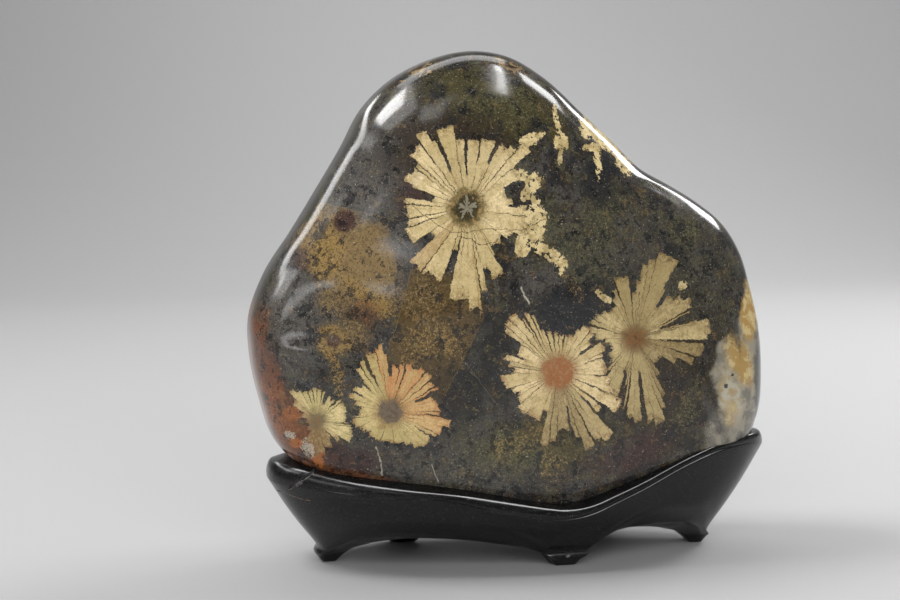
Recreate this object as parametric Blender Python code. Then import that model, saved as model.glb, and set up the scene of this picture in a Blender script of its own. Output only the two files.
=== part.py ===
"""A polished chrysanthemum stone standing in its carved wooden stand.

Two solids in one frame: +Z is up, +X runs along the stand to the stone's right end and -Y is the show side.
The origin is on the surface the feet stand on, under the middle of the object's box. Lengths are in metres.
"""

import math

import bmesh
import bpy
from mathutils import Vector

MM = 0.001

# ---------------------------------------------------------------- the stone
STONE_CENTRE = Vector((-1, 0, 119)) * MM
STONE_HALF_FRONT = 46 * MM  # from the middle plane to the middle of the show face
STONE_HALF_BACK = 47 * MM
STONE_TOP_SLIMMER = 0.16  # share of the thickness that is lost between the middle and the top
STONE_GRID = 18  # quads along each side of the six patches

# The outline seen square on, clockwise from the crown: x and height, in millimetres.
STONE_OUTLINE = (
    (-20, 234.6), (-4, 232.3), (12.5, 223), (27.5, 209.5), (44, 194), (58.5, 180.5),
    (71.5, 173.5), (85, 165.5), (98.5, 155), (107.5, 142), (113.5, 125), (118, 106),
    (119.3, 86), (117, 64), (107, 45), (88, 32), (58, 22), (20, 17.5),
    (-22, 20), (-62, 29), (-94, 42), (-110.5, 55), (-118.5, 76), (-123, 99),
    (-123.2, 112), (-116.5, 132), (-103.7, 152), (-91.2, 172), (-79.2, 192), (-70.5, 208),
    (-57.5, 221), (-40, 230.3),
)

# How square the edge between the face and the rim is: the power of a superellipse, by degrees from +X.
EDGE_POWERS = (
    (0, 2.9), (40, 3.4), (90, 2.6), (135, 3.0),
    (180, 2.9), (225, 3.8), (270, 5.5), (315, 4.0),
)

# Swells and hollows: x, height, reach along x, reach along z and rise, in millimetres. Hollows have a minus.
FRONT_RELIEF = (
    (-98, 113, 20, 17, -4.5),  # the dimple by the left shoulder
    (-107, 102.5, 14, 4.5, 2.2),  # the lip under the dimple
    (-62, 190, 11, 9, -2.0),  # the hollow between the two shoulder bosses
    (-72, 150, 34, 20, -3.0),  # the long flat under the left slope
    (-58, 203, 22, 20, 3.5),  # the boss of the upper left shoulder
    (62, 166, 20, 13, -3.0),  # the saddle between the crown and the right shoulder
    (-36, 122, 30, 26, 2.0),  # the ridge that crosses the middle
    (30, 112, 36, 40, 1.5),  # the swell under the twin flowers
    (96, 110, 22, 34, -2.5),  # the quartz band, worn lower than the rest
    (20, 50, 60, 22, 2.5),  # the belly above the stand
)
BACK_RELIEF = (
    (-60, 150, 42, 34, -4.0),
    (40, 90, 40, 44, 3.0),
    (70, 160, 34, 22, -3.0),
    (-30, 60, 50, 26, 2.5),
    (-5, 205, 34, 24, 2.5),
)

# ---------------------------------------------------------------- the stand
STAND_CENTRE_X = 3.5 * MM
RIM_HALF_LENGTH = 119.3 * MM
RIM_HALF_DEPTH = 50 * MM
SOLE_CENTRE_X = 1.5 * MM
SOLE_HALF_LENGTH = 94.5 * MM
SOLE_HALF_DEPTH = 36.5 * MM
PLAN_POWER = 2.3
SEAT_GAP = 0.35 * MM
CEILING_HEIGHT = 12 * MM
CEILING_HALF_LENGTH = 64 * MM
CEILING_HALF_DEPTH = 11 * MM

# Round the plan, by angle in degrees (0 is the right end, 270 the front): the height of the lip's outer edge,
# and the radius that rounds it, in millimetres.
RIM_HEIGHTS = (
    (0, 53), (25, 50), (55, 42), (80, 35), (100, 34), (125, 38), (155, 45.5), (180, 48.5), (196, 48.5),
    (208, 47.3), (217, 44.8), (226, 43.1), (240, 40.2), (256, 36.6), (267.5, 31.6), (273, 29),
    (277.5, 29.7), (284, 33.9), (291, 38.9), (299.5, 45.5), (306, 49.2), (313.5, 52.3),
    (326, 54.2), (342, 54),
)
BEAD_RADII = (
    (0, 5.0), (25, 2.6), (50, 1.4), (130, 1.4), (155, 2.6),
    (180, 5.0), (206, 2.4), (225, 1.4), (320, 1.4), (340, 2.4),
)
LIP_RISE = 3.5 * MM  # the top stands this much above its outer edge where it goes under the stone
LIP_REACH = 18 * MM
BLOCK_MIDDLE_HEIGHT = 34 * MM
BEAD_FACE = 1.4 * MM  # the height of the lip's outer face below its rounding
GROOVE_DEPTH = 0.7 * MM
WALL_BULGE = 0.06

# The underside's edge beside a foot: the distance from the foot's middle along the plan, and the height, in
# millimetres. The arch rises quickly, evenly or slowly from it.
QUICK = ((0, 0), (5, 0), (7.8, 4.6), (10, 8.2), (13.5, 12), (18.5, 14.8), (26, 16.8), (38, 17.5), (50, 17.5))
EVEN = ((0, 0), (5, 0), (7.8, 4.6), (12, 7), (18, 10), (26, 13.2), (36, 16), (50, 17.3))
SLOW = ((0, 0), (5, 0), (7.8, 4.6), (12, 6.3), (18.5, 8.6), (28, 11.3), (42, 14.2), (60, 16.2), (78, 17.3))

# The middle of each foot round the plan, in degrees, and how the arches rise before and after it.
FEET = ((0, EVEN, EVEN), (60, QUICK, QUICK), (120, QUICK, QUICK), (180, EVEN, EVEN), (277.7, SLOW, QUICK))

# Across the wall, inward and up, in millimetres. On a foot: from the sole's plan and from the floor.
FOOT_SECTION = ((0, 8), (-0.1, 6.6), (-1.1, 5.3), (-1.3, 4.2), (2.2, 0), (8, 0), (12, 4), (19.5, 9))
# At an arch's crown: from the wall, and the height over the arch's edge.
COVE_SECTION = ((0, 9.5), (1.5, 7.4), (4, 5), (6.6, 2), (7.6, 0), (11, -0.4), (15, -1.6), (21, -3.6))
COVE_FROM, COVE_TO = 8 * MM, 36 * MM  # how far from a foot's middle the cove begins and is full
ANGLES_PER_FOOT_SIDE = (0, 5, 7.8, 10, 13, 18, 25)
ANGLES_PER_ARCH = 6


def clear_scene():
    for old in list(bpy.data.objects):
        bpy.data.objects.remove(old, do_unlink=True)


def principled(name, colour, roughness, metallic=0.0):
    material = bpy.data.materials.new(name)
    material.use_nodes = True
    shader = material.node_tree.nodes["Principled BSDF"]
    shader.inputs["Base Color"].default_value = (*colour, 1.0)
    shader.inputs["Roughness"].default_value = roughness
    shader.inputs["Metallic"].default_value = metallic
    return material


def round_table(pairs, degrees):
    """A smooth value read from (degrees, value) pairs that run round a full turn."""
    angles = [pair[0] for pair in pairs]
    values = [pair[1] for pair in pairs]
    count = len(pairs)
    degrees %= 360.0
    i = max((k for k in range(count) if angles[k] <= degrees), default=count - 1)
    start = angles[i]
    end = angles[(i + 1) % count] + (360.0 if i == count - 1 else 0.0)
    here = degrees if degrees >= start else degrees + 360.0
    share = (here - start) / (end - start)

    def angle_at(k):
        return angles[k % count] + 360.0 * (k // count)

    def slope(k):
        """The slope at point k, weighted so that uneven spacing leaves no ripple."""
        before = (values[k % count] - values[(k - 1) % count]) / (angle_at(k) - angle_at(k - 1))
        after = (values[(k + 1) % count] - values[k % count]) / (angle_at(k + 1) - angle_at(k))
        left = angle_at(k) - angle_at(k - 1)
        right = angle_at(k + 1) - angle_at(k)
        return (before * right + after * left) / (left + right)

    span = end - start
    s2, s3 = share**2, share**3
    return (
        (2 * s3 - 3 * s2 + 1) * values[i]
        + (s3 - 2 * s2 + share) * span * slope(i)
        + (3 * s2 - 2 * s3) * values[(i + 1) % count]
        + (s3 - s2) * span * slope(i + 1)
    )


def outline_by_angle():
    """The stone's outline as (degrees, radius) pairs about its centre, in rising order of angle."""
    pairs = []
    for x, z in STONE_OUTLINE:
        dx, dz = x * MM - STONE_CENTRE.x, z * MM - STONE_CENTRE.z
        pairs.append((math.degrees(math.atan2(dz, dx)) % 360.0, math.hypot(dx, dz)))
    return sorted(pairs)


OUTLINE_PAIRS = outline_by_angle()


def relief(swells, x, z):
    total = 0.0
    for sx, sz, reach_x, reach_z, rise in swells:
        away = ((x / MM - sx) / reach_x) ** 2 + ((z / MM - sz) / reach_z) ** 2
        total += rise * MM * math.exp(-away)
    return total


def stone_point(direction):
    """The stone's surface in a direction from its centre: a pillow whose rim follows the outline."""
    d = direction.normalized()
    flat = math.hypot(d.x, d.z)
    angle = math.degrees(math.atan2(d.z, d.x))
    power = round_table(EDGE_POWERS, angle)
    reach = (flat**power + abs(d.y) ** power) ** (-1.0 / power)
    radius = round_table(OUTLINE_PAIRS, angle)
    across = d.x / flat if flat > 1e-9 else 0.0
    up = d.z / flat if flat > 1e-9 else 0.0
    x = STONE_CENTRE.x + radius * flat * reach * across
    z = STONE_CENTRE.z + radius * flat * reach * up
    half = STONE_HALF_FRONT if d.y < 0 else STONE_HALF_BACK
    height_share = max(0.0, (z - STONE_CENTRE.z) / (235 * MM - STONE_CENTRE.z))
    half *= 1.0 - STONE_TOP_SLIMMER * height_share**2
    swells = FRONT_RELIEF if d.y < 0 else BACK_RELIEF
    facing = min(1.0, abs(d.y) * reach) ** 1.5
    y = math.copysign(half * abs(d.y) * reach + relief(swells, x, z) * facing, d.y)
    return Vector((x, STONE_CENTRE.y + y, z))


def stone_mesh(grid, swell=0.0):
    """A cube cut into a grid and swollen into the stone, so that it has no poles."""
    mesh = bpy.data.meshes.new("stone")
    bm = bmesh.new()
    bmesh.ops.create_cube(bm, size=2.0)
    bmesh.ops.subdivide_edges(bm, edges=bm.edges[:], cuts=grid - 1, use_grid_fill=True)
    for vertex in bm.verts:
        even = Vector([math.tan(c * math.pi / 4) for c in vertex.co])
        vertex.co = stone_point(even)
    bmesh.ops.triangulate(bm, faces=bm.faces[:], quad_method="FIXED")
    bmesh.ops.recalc_face_normals(bm, faces=bm.faces[:])
    bm.normal_update()
    moves = [vertex.normal * swell for vertex in bm.verts]
    for vertex, move in zip(bm.verts, moves):
        vertex.co += move
    bm.to_mesh(mesh)
    bm.free()
    mesh.shade_smooth()
    return mesh


def make_stone():
    charcoal = principled("polished_stone", (0.06, 0.055, 0.05), 0.18)
    return add_object("stone", stone_mesh(STONE_GRID), charcoal)


# ---------------------------------------------------------------- the stand's shape


def power_ring(degrees, half_length, half_depth):
    c, s = math.cos(math.radians(degrees)), math.sin(math.radians(degrees))
    return Vector((
        math.copysign(abs(c) ** (2 / PLAN_POWER), c) * half_length,
        math.copysign(abs(s) ** (2 / PLAN_POWER), s) * half_depth,
    ))


def rim_plan(degrees):
    return power_ring(degrees, RIM_HALF_LENGTH, RIM_HALF_DEPTH) + Vector((STAND_CENTRE_X, 0))


def sole_plan(degrees):
    return power_ring(degrees, SOLE_HALF_LENGTH, SOLE_HALF_DEPTH) + Vector((SOLE_CENTRE_X, 0))


def plan_length(start, end, steps=24):
    """Metres along the sole's plan between two angles."""
    points = [sole_plan(start + (end - start) * k / steps) for k in range(steps + 1)]
    return sum((points[k + 1] - points[k]).length for k in range(steps))


def plan_angle(start, distance):
    """The angle that lies a distance (metres, either sign) along the sole's plan from another."""
    angle = start
    for _ in range(12):
        gone = math.copysign(plan_length(start, angle), angle - start) if angle != start else 0.0
        speed = plan_length(angle - 0.5, angle + 0.5, 2)
        angle += (distance - gone) / speed
    return angle


def plan_samples():
    """All round the plan: degrees, metres along it to the nearest foot's middle, height of the edge."""
    samples = []
    for i, (foot, _, rise_after) in enumerate(FEET):
        following, rise_before, _ = FEET[(i + 1) % len(FEET)]
        span = plan_length(foot, following if following > foot else following + 360)
        steps = [step * MM for step in ANGLES_PER_FOOT_SIDE]
        gap = span - 2 * steps[-1]
        steps += [steps[-1] + gap * k / ANGLES_PER_ARCH for k in range(1, ANGLES_PER_ARCH)]
        steps += [span - step * MM for step in reversed(ANGLES_PER_FOOT_SIDE[1:])]
        for step in steps:
            edge = min(line_table(rise_after, step / MM), line_table(rise_before, (span - step) / MM)) * MM
            samples.append((plan_angle(foot, step), min(step, span - step), edge))
    return samples


def line_table(pairs, x):
    """A value read from (x, value) pairs joined by straight lines."""
    for (x0, y0), (x1, y1) in zip(pairs, pairs[1:]):
        if x <= x1:
            return y0 + (y1 - y0) * max(0.0, (x - x0) / (x1 - x0))
    return pairs[-1][1]


def smooth_share(low, high, x):
    share = min(1.0, max(0.0, (x - low) / (high - low)))
    return share * share * (3 - 2 * share)


def wall_point(degrees, inward, height):
    """A point inward from the rim: 0 is the rim's plan and 1 the sole's, and past 1 is under the stand."""
    plan = rim_plan(degrees).lerp(sole_plan(degrees), inward)
    return Vector((plan.x, plan.y, height))


def section(degrees, from_foot, edge):
    """One cut through the stand, from the middle of its top over the lip, down the wall and under."""
    edge_height = round_table(RIM_HEIGHTS, degrees) * MM
    radius = round_table(BEAD_RADII, degrees) * MM
    depth = (rim_plan(degrees) - sole_plan(degrees)).length
    ankle = FOOT_SECTION[0][1] * MM

    face_end = edge_height - radius - 0.6 * BEAD_FACE
    groove = face_end - 0.4 * BEAD_FACE

    def on_wall(height):
        share = (groove - height) / (groove - ankle)
        return share - WALL_BULGE * math.sin(math.pi * share)

    points = [wall_point(degrees, LIP_REACH / depth, edge_height + LIP_RISE)]
    for turn in (80, 55, 28, 0):
        c, s = math.cos(math.radians(turn)), math.sin(math.radians(turn))
        points.append(wall_point(degrees, (1 - c) * radius / depth, edge_height - (1 - s) * radius))
    points.append(wall_point(degrees, 0.3 * GROOVE_DEPTH / depth, face_end))
    points.append(wall_point(degrees, GROOVE_DEPTH / depth, groove))

    cove = smooth_share(COVE_FROM, COVE_TO, from_foot)
    top = max(ankle, edge + 3 * MM)
    turn_height = min(top + (edge + COVE_SECTION[0][1] * MM - top) * cove, groove - 2 * MM)
    for share in (0.1, 0.4, 0.72):
        height = groove + (turn_height - groove) * share
        points.append(wall_point(degrees, on_wall(height), height))

    toe = 1 - smooth_share(4.6 * MM, 8 * MM, edge)
    for k, ((foot_in, foot_up), (cove_in, cove_up)) in enumerate(zip(FOOT_SECTION, COVE_SECTION)):
        foot_z = top if k == 0 else max(foot_up * MM, edge)
        flare = foot_in * toe if foot_in < 0 else foot_in
        foot_share = on_wall(max(foot_z, ankle)) + flare * MM / depth
        inward = foot_share + (on_wall(turn_height) + cove_in * MM / depth - foot_share) * cove
        height = foot_z + (edge + cove_up * MM - foot_z) * cove
        points.append(wall_point(degrees, inward, height))
    ceiling = power_ring(degrees, CEILING_HALF_LENGTH, CEILING_HALF_DEPTH)
    points.append(Vector((SOLE_CENTRE_X + ceiling.x, ceiling.y, CEILING_HEIGHT)))
    return points


def add_object(name, mesh, material):
    mesh.materials.append(material)
    made = bpy.data.objects.new(name, mesh)
    bpy.context.scene.collection.objects.link(made)
    return made


def stand_block():
    """The stand before its seat is hollowed: rings of points from the top's middle to the underside's."""
    rings = []
    bm = bmesh.new()
    for degrees, from_foot, edge in plan_samples():
        rings.append([bm.verts.new(p) for p in section(degrees, from_foot, edge)])
    top_middle = bm.verts.new((STAND_CENTRE_X, 0, BLOCK_MIDDLE_HEIGHT))
    ceiling_middle = bm.verts.new((STAND_CENTRE_X, 0, CEILING_HEIGHT))
    for i, ring in enumerate(rings):
        following = rings[(i + 1) % len(rings)]
        for k in range(len(ring) - 1):
            bm.faces.new((ring[k], ring[k + 1], following[k + 1], following[k]))
        bm.faces.new((top_middle, ring[0], following[0]))
        bm.faces.new((ceiling_middle, following[-1], ring[-1]))
    bmesh.ops.recalc_face_normals(bm, faces=bm.faces[:])
    mesh = bpy.data.meshes.new("stand")
    bm.to_mesh(mesh)
    bm.free()
    return mesh


def make_stand():
    stand = add_object("stand", stand_block(), principled("black_lacquer", (0.012, 0.012, 0.013), 0.32))
    cutter = add_object("seat_cutter", stone_mesh(STONE_GRID, SEAT_GAP), stand.data.materials[0])
    cutter.hide_render = True
    cutter.display_type = "WIRE"
    seat = stand.modifiers.new("seat", "BOOLEAN")
    seat.operation = "DIFFERENCE"
    seat.object = cutter
    seat.solver = "EXACT"
    return stand


clear_scene()
make_stone()
make_stand()
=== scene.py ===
"""A polished chrysanthemum stone on its carved black stand, dressed for a studio picture.

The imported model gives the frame: +Z is up, +X runs to the stone's right end and -Y is the show side, in
metres. Both solids are made again here at full fineness from the same named shapes, and each takes the place
of its node.
"""

import math

import bmesh
import bpy
from bpy.props import FloatProperty, FloatVectorProperty, IntProperty, PointerProperty
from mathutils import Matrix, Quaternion, Vector


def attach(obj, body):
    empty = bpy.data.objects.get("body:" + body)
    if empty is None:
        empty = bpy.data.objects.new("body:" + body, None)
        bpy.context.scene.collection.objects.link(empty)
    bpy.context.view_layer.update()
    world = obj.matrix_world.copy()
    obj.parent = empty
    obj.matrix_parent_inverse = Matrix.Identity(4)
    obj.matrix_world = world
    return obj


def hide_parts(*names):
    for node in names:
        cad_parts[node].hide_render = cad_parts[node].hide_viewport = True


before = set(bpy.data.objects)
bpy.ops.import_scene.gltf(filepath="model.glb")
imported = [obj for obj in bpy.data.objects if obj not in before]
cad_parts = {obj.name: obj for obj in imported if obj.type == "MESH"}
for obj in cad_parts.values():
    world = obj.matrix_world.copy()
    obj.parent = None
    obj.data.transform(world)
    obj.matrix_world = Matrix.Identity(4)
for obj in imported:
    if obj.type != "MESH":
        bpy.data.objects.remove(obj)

bl_info = {
    "name": "Chrysanthemum Stone on a Carved Stand",
    "version": (1, 0, 0),
    "blender": (4, 5, 0),
    "location": "3D Viewport > Sidebar > Stone",
    "description": "Builds a polished viewing stone with flower-shaped crystals on a carved lacquered stand",
    "category": "Add Mesh",
}

MM = 0.001
TAU = 2 * math.pi

# ------------------------------ the stone's shape
STONE_CENTRE = Vector((-1, 0, 119)) * MM
STONE_TOP = 235 * MM
STONE_HALF_FRONT = 46 * MM
STONE_HALF_BACK = 47 * MM
STONE_TOP_SLIMMER = 0.16

# The outline seen square on, clockwise from the crown: x and height, in millimetres.
STONE_OUTLINE = (
    (-20, 234.6), (-4, 232.3), (12.5, 223), (27.5, 209.5), (44, 194), (58.5, 180.5), (71.5, 173.5),
    (85, 165.5), (98.5, 155), (107.5, 142), (113.5, 125), (118, 106), (119.3, 86), (117, 64), (107, 45),
    (88, 32), (58, 22), (20, 17.5), (-22, 20), (-62, 29), (-94, 42), (-110.5, 55), (-118.5, 76), (-123, 99),
    (-123.2, 112), (-116.5, 132), (-103.7, 152), (-91.2, 172), (-79.2, 192), (-70.5, 208), (-57.5, 221),
    (-40, 230.3),
)

# How square the edge between the face and the rim is: the power of a superellipse, by degrees from +X.
EDGE_POWERS = (
    (0, 2.9), (40, 3.4), (90, 2.6), (135, 3.0), (180, 2.9), (225, 3.8), (270, 5.5), (315, 4.0),
)

# Swells and hollows: x, height, reach along x, reach along z and rise, in millimetres. Hollows have a minus.
FRONT_RELIEF = (
    (-98, 113, 20, 17, -4.5),
    (-107, 102.5, 14, 4.5, 2.2),
    (-62, 190, 11, 9, -2.0),
    (-72, 150, 34, 20, -3.0),
    (-58, 203, 22, 20, 3.5),
    (62, 166, 20, 13, -3.0),
    (-36, 122, 30, 26, 2.0),
    (30, 112, 36, 40, 1.5),
    (96, 110, 22, 34, -2.5),
    (20, 50, 60, 22, 2.5),
)
BACK_RELIEF = (
    (-60, 150, 42, 34, -4.0),
    (40, 90, 40, 44, 3.0),
    (70, 160, 34, 22, -3.0),
    (-30, 60, 50, 26, 2.5),
    (-5, 205, 34, 24, 2.5),
)

# ------------------------------ the stand's shape
STAND_CENTRE_X = 3.5 * MM
RIM_HALF_LENGTH = 119.3 * MM
RIM_HALF_DEPTH = 50 * MM
SOLE_CENTRE_X = 1.5 * MM
SOLE_HALF_LENGTH = 94.5 * MM
SOLE_HALF_DEPTH = 36.5 * MM
PLAN_POWER = 2.3
CEILING_HEIGHT = 12 * MM
CEILING_HALF_LENGTH = 64 * MM
CEILING_HALF_DEPTH = 11 * MM
BLOCK_MIDDLE_HEIGHT = 34 * MM
LIP_REACH = 18 * MM
BEAD_SLENDER, BEAD_TALL = 0.62, 1.25
BEAD_FACE = 1.4 * MM
WALL_BULGE = 0.06

# Round the plan, by angle in degrees (0 is the right end, 270 the front): the height of the lip's outer edge,
# and the radius of its bead, in millimetres.
RIM_HEIGHTS = (
    (0, 54.6), (25, 51), (55, 42), (80, 35), (100, 34), (125, 38), (155, 45.5), (180, 48.5), (196, 48.5),
    (208, 47.8), (217, 45.6), (226, 43.8), (240, 40.8), (256, 37.0), (267.5, 32.2), (273, 29.4),
    (277.5, 30.2), (284, 35.1), (291, 40.5), (299.5, 47.2), (306, 50.9), (313.5, 54.0), (326, 55.9),
    (342, 55.7),
)
BEAD_RADII = (
    (0, 5.0), (25, 2.8), (50, 2.0), (130, 2.0), (155, 2.8), (180, 5.4), (206, 5.2), (217, 4.4), (226, 3.9),
    (240, 3.0), (250, 2.0), (260, 3.4), (268, 3.4), (276, 2.4), (290, 1.6), (318, 1.7), (334, 2.6),
    (346, 3.8),
)
# How far the top of the lip climbs towards the stone, and its section: millimetres inward and a share of the
# climb.
LIP_RISES = ((0, 2.0), (60, 3.5), (200, 3.5), (270, 3.0), (288, 1.3), (340, 1.3))
LIP_SECTION = ((3.5, 0.30), (2.2, 0.20), (1.3, 0.12))
# The top inside the lip: shares of its reach and of its climb.
LIP_SLOPE = ((1.0, 1.0), (0.45, 0.5))
# Where the bead is cut across, in degrees above its outermost line.
BEAD_TURNS = (84, 64, 45, 24, 4)
# The line carved below the lip. How deep it is round the plan, as a share of its full depth.
GROOVE_SHARES = (
    (0, 0.1), (60, 0.4), (140, 0.4), (200, 0), (262, 0), (276, 0.6), (288, 1.1), (312, 1.0), (330, 0.2),
)
# How far its face ends below the bead, and its middle below that, as shares of the face's height.
FACE_DROP, GROOVE_DROP = 0.3, 0.4
# Its section: a share of its depth, and a share of the face's height from the face's end or its middle.
FACE_SECTION = ((0.05, 0.15), (0.6, -0.1))
GROOVE_SECTION = ((1.30, 0.0), (1.15, -0.18), (0.25, -0.50))
# Where the wall is cut across, as shares of its height.
WALL_SHARES = (0.16, 0.33, 0.5, 0.68, 0.84)

# The underside's edge beside a foot: the distance from the foot's middle along the plan, and the height, in
# millimetres. The arch rises quickly, evenly or slowly from it.
QUICK = ((0, 0), (5, 0), (7.8, 4.6), (10, 8.2), (13.5, 12), (18.5, 14.8), (26, 16.8), (38, 17.5), (50, 17.5))
EVEN = ((0, 0), (5, 0), (7.8, 4.6), (12, 7), (18, 10), (26, 13.2), (36, 16), (50, 17.3))
SLOW = ((0, 0), (5, 0), (7.8, 4.6), (12, 6.3), (18.5, 8.6), (28, 11.3), (42, 14.2), (60, 16.2), (78, 17.3))

# The middle of each foot round the plan, in degrees, and how the arches rise before and after it.
FEET = ((0, EVEN, EVEN), (60, QUICK, QUICK), (120, QUICK, QUICK), (180, EVEN, EVEN), (277.7, SLOW, QUICK))

# Across the wall, inward and up, in millimetres. On a foot: from the sole's plan and from the floor.
FOOT_SECTION = ((0, 8), (-0.1, 6.6), (-1.1, 5.3), (-1.3, 4.2), (2.2, 0), (8, 0), (12, 4), (19.5, 9))
# At an arch's crown: from the wall, and the height over the arch's edge.
COVE_SECTION = ((0, 9.5), (1.5, 7.4), (4, 5), (6.6, 2), (7.6, 0), (11, -0.4), (15, -1.6), (21, -3.6))
COVE_FROM, COVE_TO = 8 * MM, 36 * MM
# A foot keeps its toe while the edge is this low, and the foot and the wall keep at least these heights.
TOE_KEPT, TOE_GONE = 4.6 * MM, 8 * MM
FOOT_LEAST, WALL_LEAST = 3 * MM, 2 * MM
# The two stretches of the foot's section that keep a crisp edge, and where they are cut again.
CRISP_STRETCHES = (3, 4)
CRISP_SHARES = (0.12, 0.88)

# The crack through the lip: points on the surface from the stone's side outwards, in millimetres.
CRACK_PATH = (
    (-94.5, -26.5, 50.5), (-96.4, -27.2, 49.0), (-98.7, -27.6, 46.9), (-101.9, -26.9, 45.6),
    (-104.5, -24.2, 43.6), (-106.6, -21.0, 41.4), (-108.2, -17.0, 38.6),
)


# ------------------------------ settings
class StoneSettings(bpy.types.PropertyGroup):
    """Sizes and finish of the stone."""

    grid: IntProperty(
        name="Fineness", description="Quads along each side of the stone's six patches", default=84,
        min=12, max=120)
    polish: FloatProperty(
        name="Polish", description="Roughness of the polished ground", default=0.13, min=0.02, max=1,
        subtype="FACTOR")
    charcoal: FloatVectorProperty(
        name="Charcoal", description="Colour of the dark ground", default=(0.022, 0.020, 0.017), size=3,
        subtype="COLOR", min=0, max=1)
    golden: FloatVectorProperty(
        name="Golden Brown", description="Colour of the weathered patches", default=(0.235, 0.155, 0.062),
        size=3, subtype="COLOR", min=0, max=1)
    petal: FloatVectorProperty(
        name="Crystal", description="Colour of the loose crystals", default=(0.76, 0.61, 0.32), size=3,
        subtype="COLOR", min=0, max=1)


class StandSettings(bpy.types.PropertyGroup):
    """Sizes and finish of the carved stand."""

    seat_gap: FloatProperty(
        name="Seat Gap", description="Space between the stone and its seat", default=0.00035,
        min=0.0001, max=0.002, unit="LENGTH")
    groove_depth: FloatProperty(
        name="Groove Depth", description="Depth of the line carved below the lip", default=0.0009,
        min=0, max=0.002, unit="LENGTH")
    crack_width: FloatProperty(
        name="Crack Width", description="Widest opening of the crack in the lip", default=0.0007,
        min=0, max=0.003, unit="LENGTH")
    chips: IntProperty(
        name="Chips", description="Small chips beside the crack", default=9, min=0, max=60)
    lacquer: FloatVectorProperty(
        name="Lacquer", description="Colour of the black lacquer", default=(0.0022, 0.0022, 0.0025), size=3,
        subtype="COLOR", min=0, max=1)


class StageSettings(bpy.types.PropertyGroup):
    """The camera, floor and lights."""

    lens: FloatProperty(
        name="Lens", description="Focal length of the camera in millimetres", default=75, min=20, max=200)
    floor_tone: FloatProperty(
        name="Floor Tone", description="Lightness of the paper floor", default=0.475, min=0, max=1,
        subtype="FACTOR")
    wall_tone: FloatProperty(
        name="Wall Tone", description="Lightness of the backdrop", default=0.43, min=0, max=1,
        subtype="FACTOR")


def stone_settings():
    return bpy.context.scene.chrysanthemum_stone


def stand_settings():
    return bpy.context.scene.chrysanthemum_stand


def stage_settings():
    return bpy.context.scene.chrysanthemum_stage


# ------------------------------ shared shape helpers
def round_table(pairs, degrees):
    """A smooth value read from (degrees, value) pairs that run round a full turn."""
    angles = [pair[0] for pair in pairs]
    values = [pair[1] for pair in pairs]
    count = len(pairs)
    degrees %= 360.0
    i = max((k for k in range(count) if angles[k] <= degrees), default=count - 1)
    start = angles[i]
    end = angles[(i + 1) % count] + (360.0 if i == count - 1 else 0.0)
    here = degrees if degrees >= start else degrees + 360.0
    share = (here - start) / (end - start)

    def angle_at(k):
        return angles[k % count] + 360.0 * (k // count)

    def slope(k):
        """The slope at point k, weighted so that uneven spacing leaves no ripple."""
        before = (values[k % count] - values[(k - 1) % count]) / (angle_at(k) - angle_at(k - 1))
        after = (values[(k + 1) % count] - values[k % count]) / (angle_at(k + 1) - angle_at(k))
        left = angle_at(k) - angle_at(k - 1)
        right = angle_at(k + 1) - angle_at(k)
        return (before * right + after * left) / (left + right)

    span = end - start
    s2, s3 = share**2, share**3
    return (
        (2 * s3 - 3 * s2 + 1) * values[i]
        + (s3 - 2 * s2 + share) * span * slope(i)
        + (3 * s2 - 2 * s3) * values[(i + 1) % count]
        + (s3 - s2) * span * slope(i + 1)
    )


def line_table(pairs, x):
    """A value read from (x, value) pairs joined by straight lines."""
    for (x0, y0), (x1, y1) in zip(pairs, pairs[1:]):
        if x <= x1:
            return y0 + (y1 - y0) * max(0.0, (x - x0) / (x1 - x0))
    return pairs[-1][1]


def smooth_share(low, high, x):
    share = min(1.0, max(0.0, (x - low) / (high - low)))
    return share * share * (3 - 2 * share)


def new_piece(name, mesh, material):
    """An object at the origin, linked to the scene, with one material."""
    mesh.materials.clear()
    mesh.materials.append(material)
    piece = bpy.data.objects.new(name, mesh)
    bpy.context.scene.collection.objects.link(piece)
    return piece


# ------------------------------ the stone's mesh
def outline_by_angle():
    """The stone's outline as (degrees, radius) pairs about its centre, in rising order of angle."""
    pairs = []
    for x, z in STONE_OUTLINE:
        dx, dz = x * MM - STONE_CENTRE.x, z * MM - STONE_CENTRE.z
        pairs.append((math.degrees(math.atan2(dz, dx)) % 360.0, math.hypot(dx, dz)))
    return sorted(pairs)


OUTLINE_PAIRS = outline_by_angle()


def relief(swells, x, z):
    total = 0.0
    for sx, sz, reach_x, reach_z, rise in swells:
        away = ((x / MM - sx) / reach_x) ** 2 + ((z / MM - sz) / reach_z) ** 2
        total += rise * MM * math.exp(-away)
    return total


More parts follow.
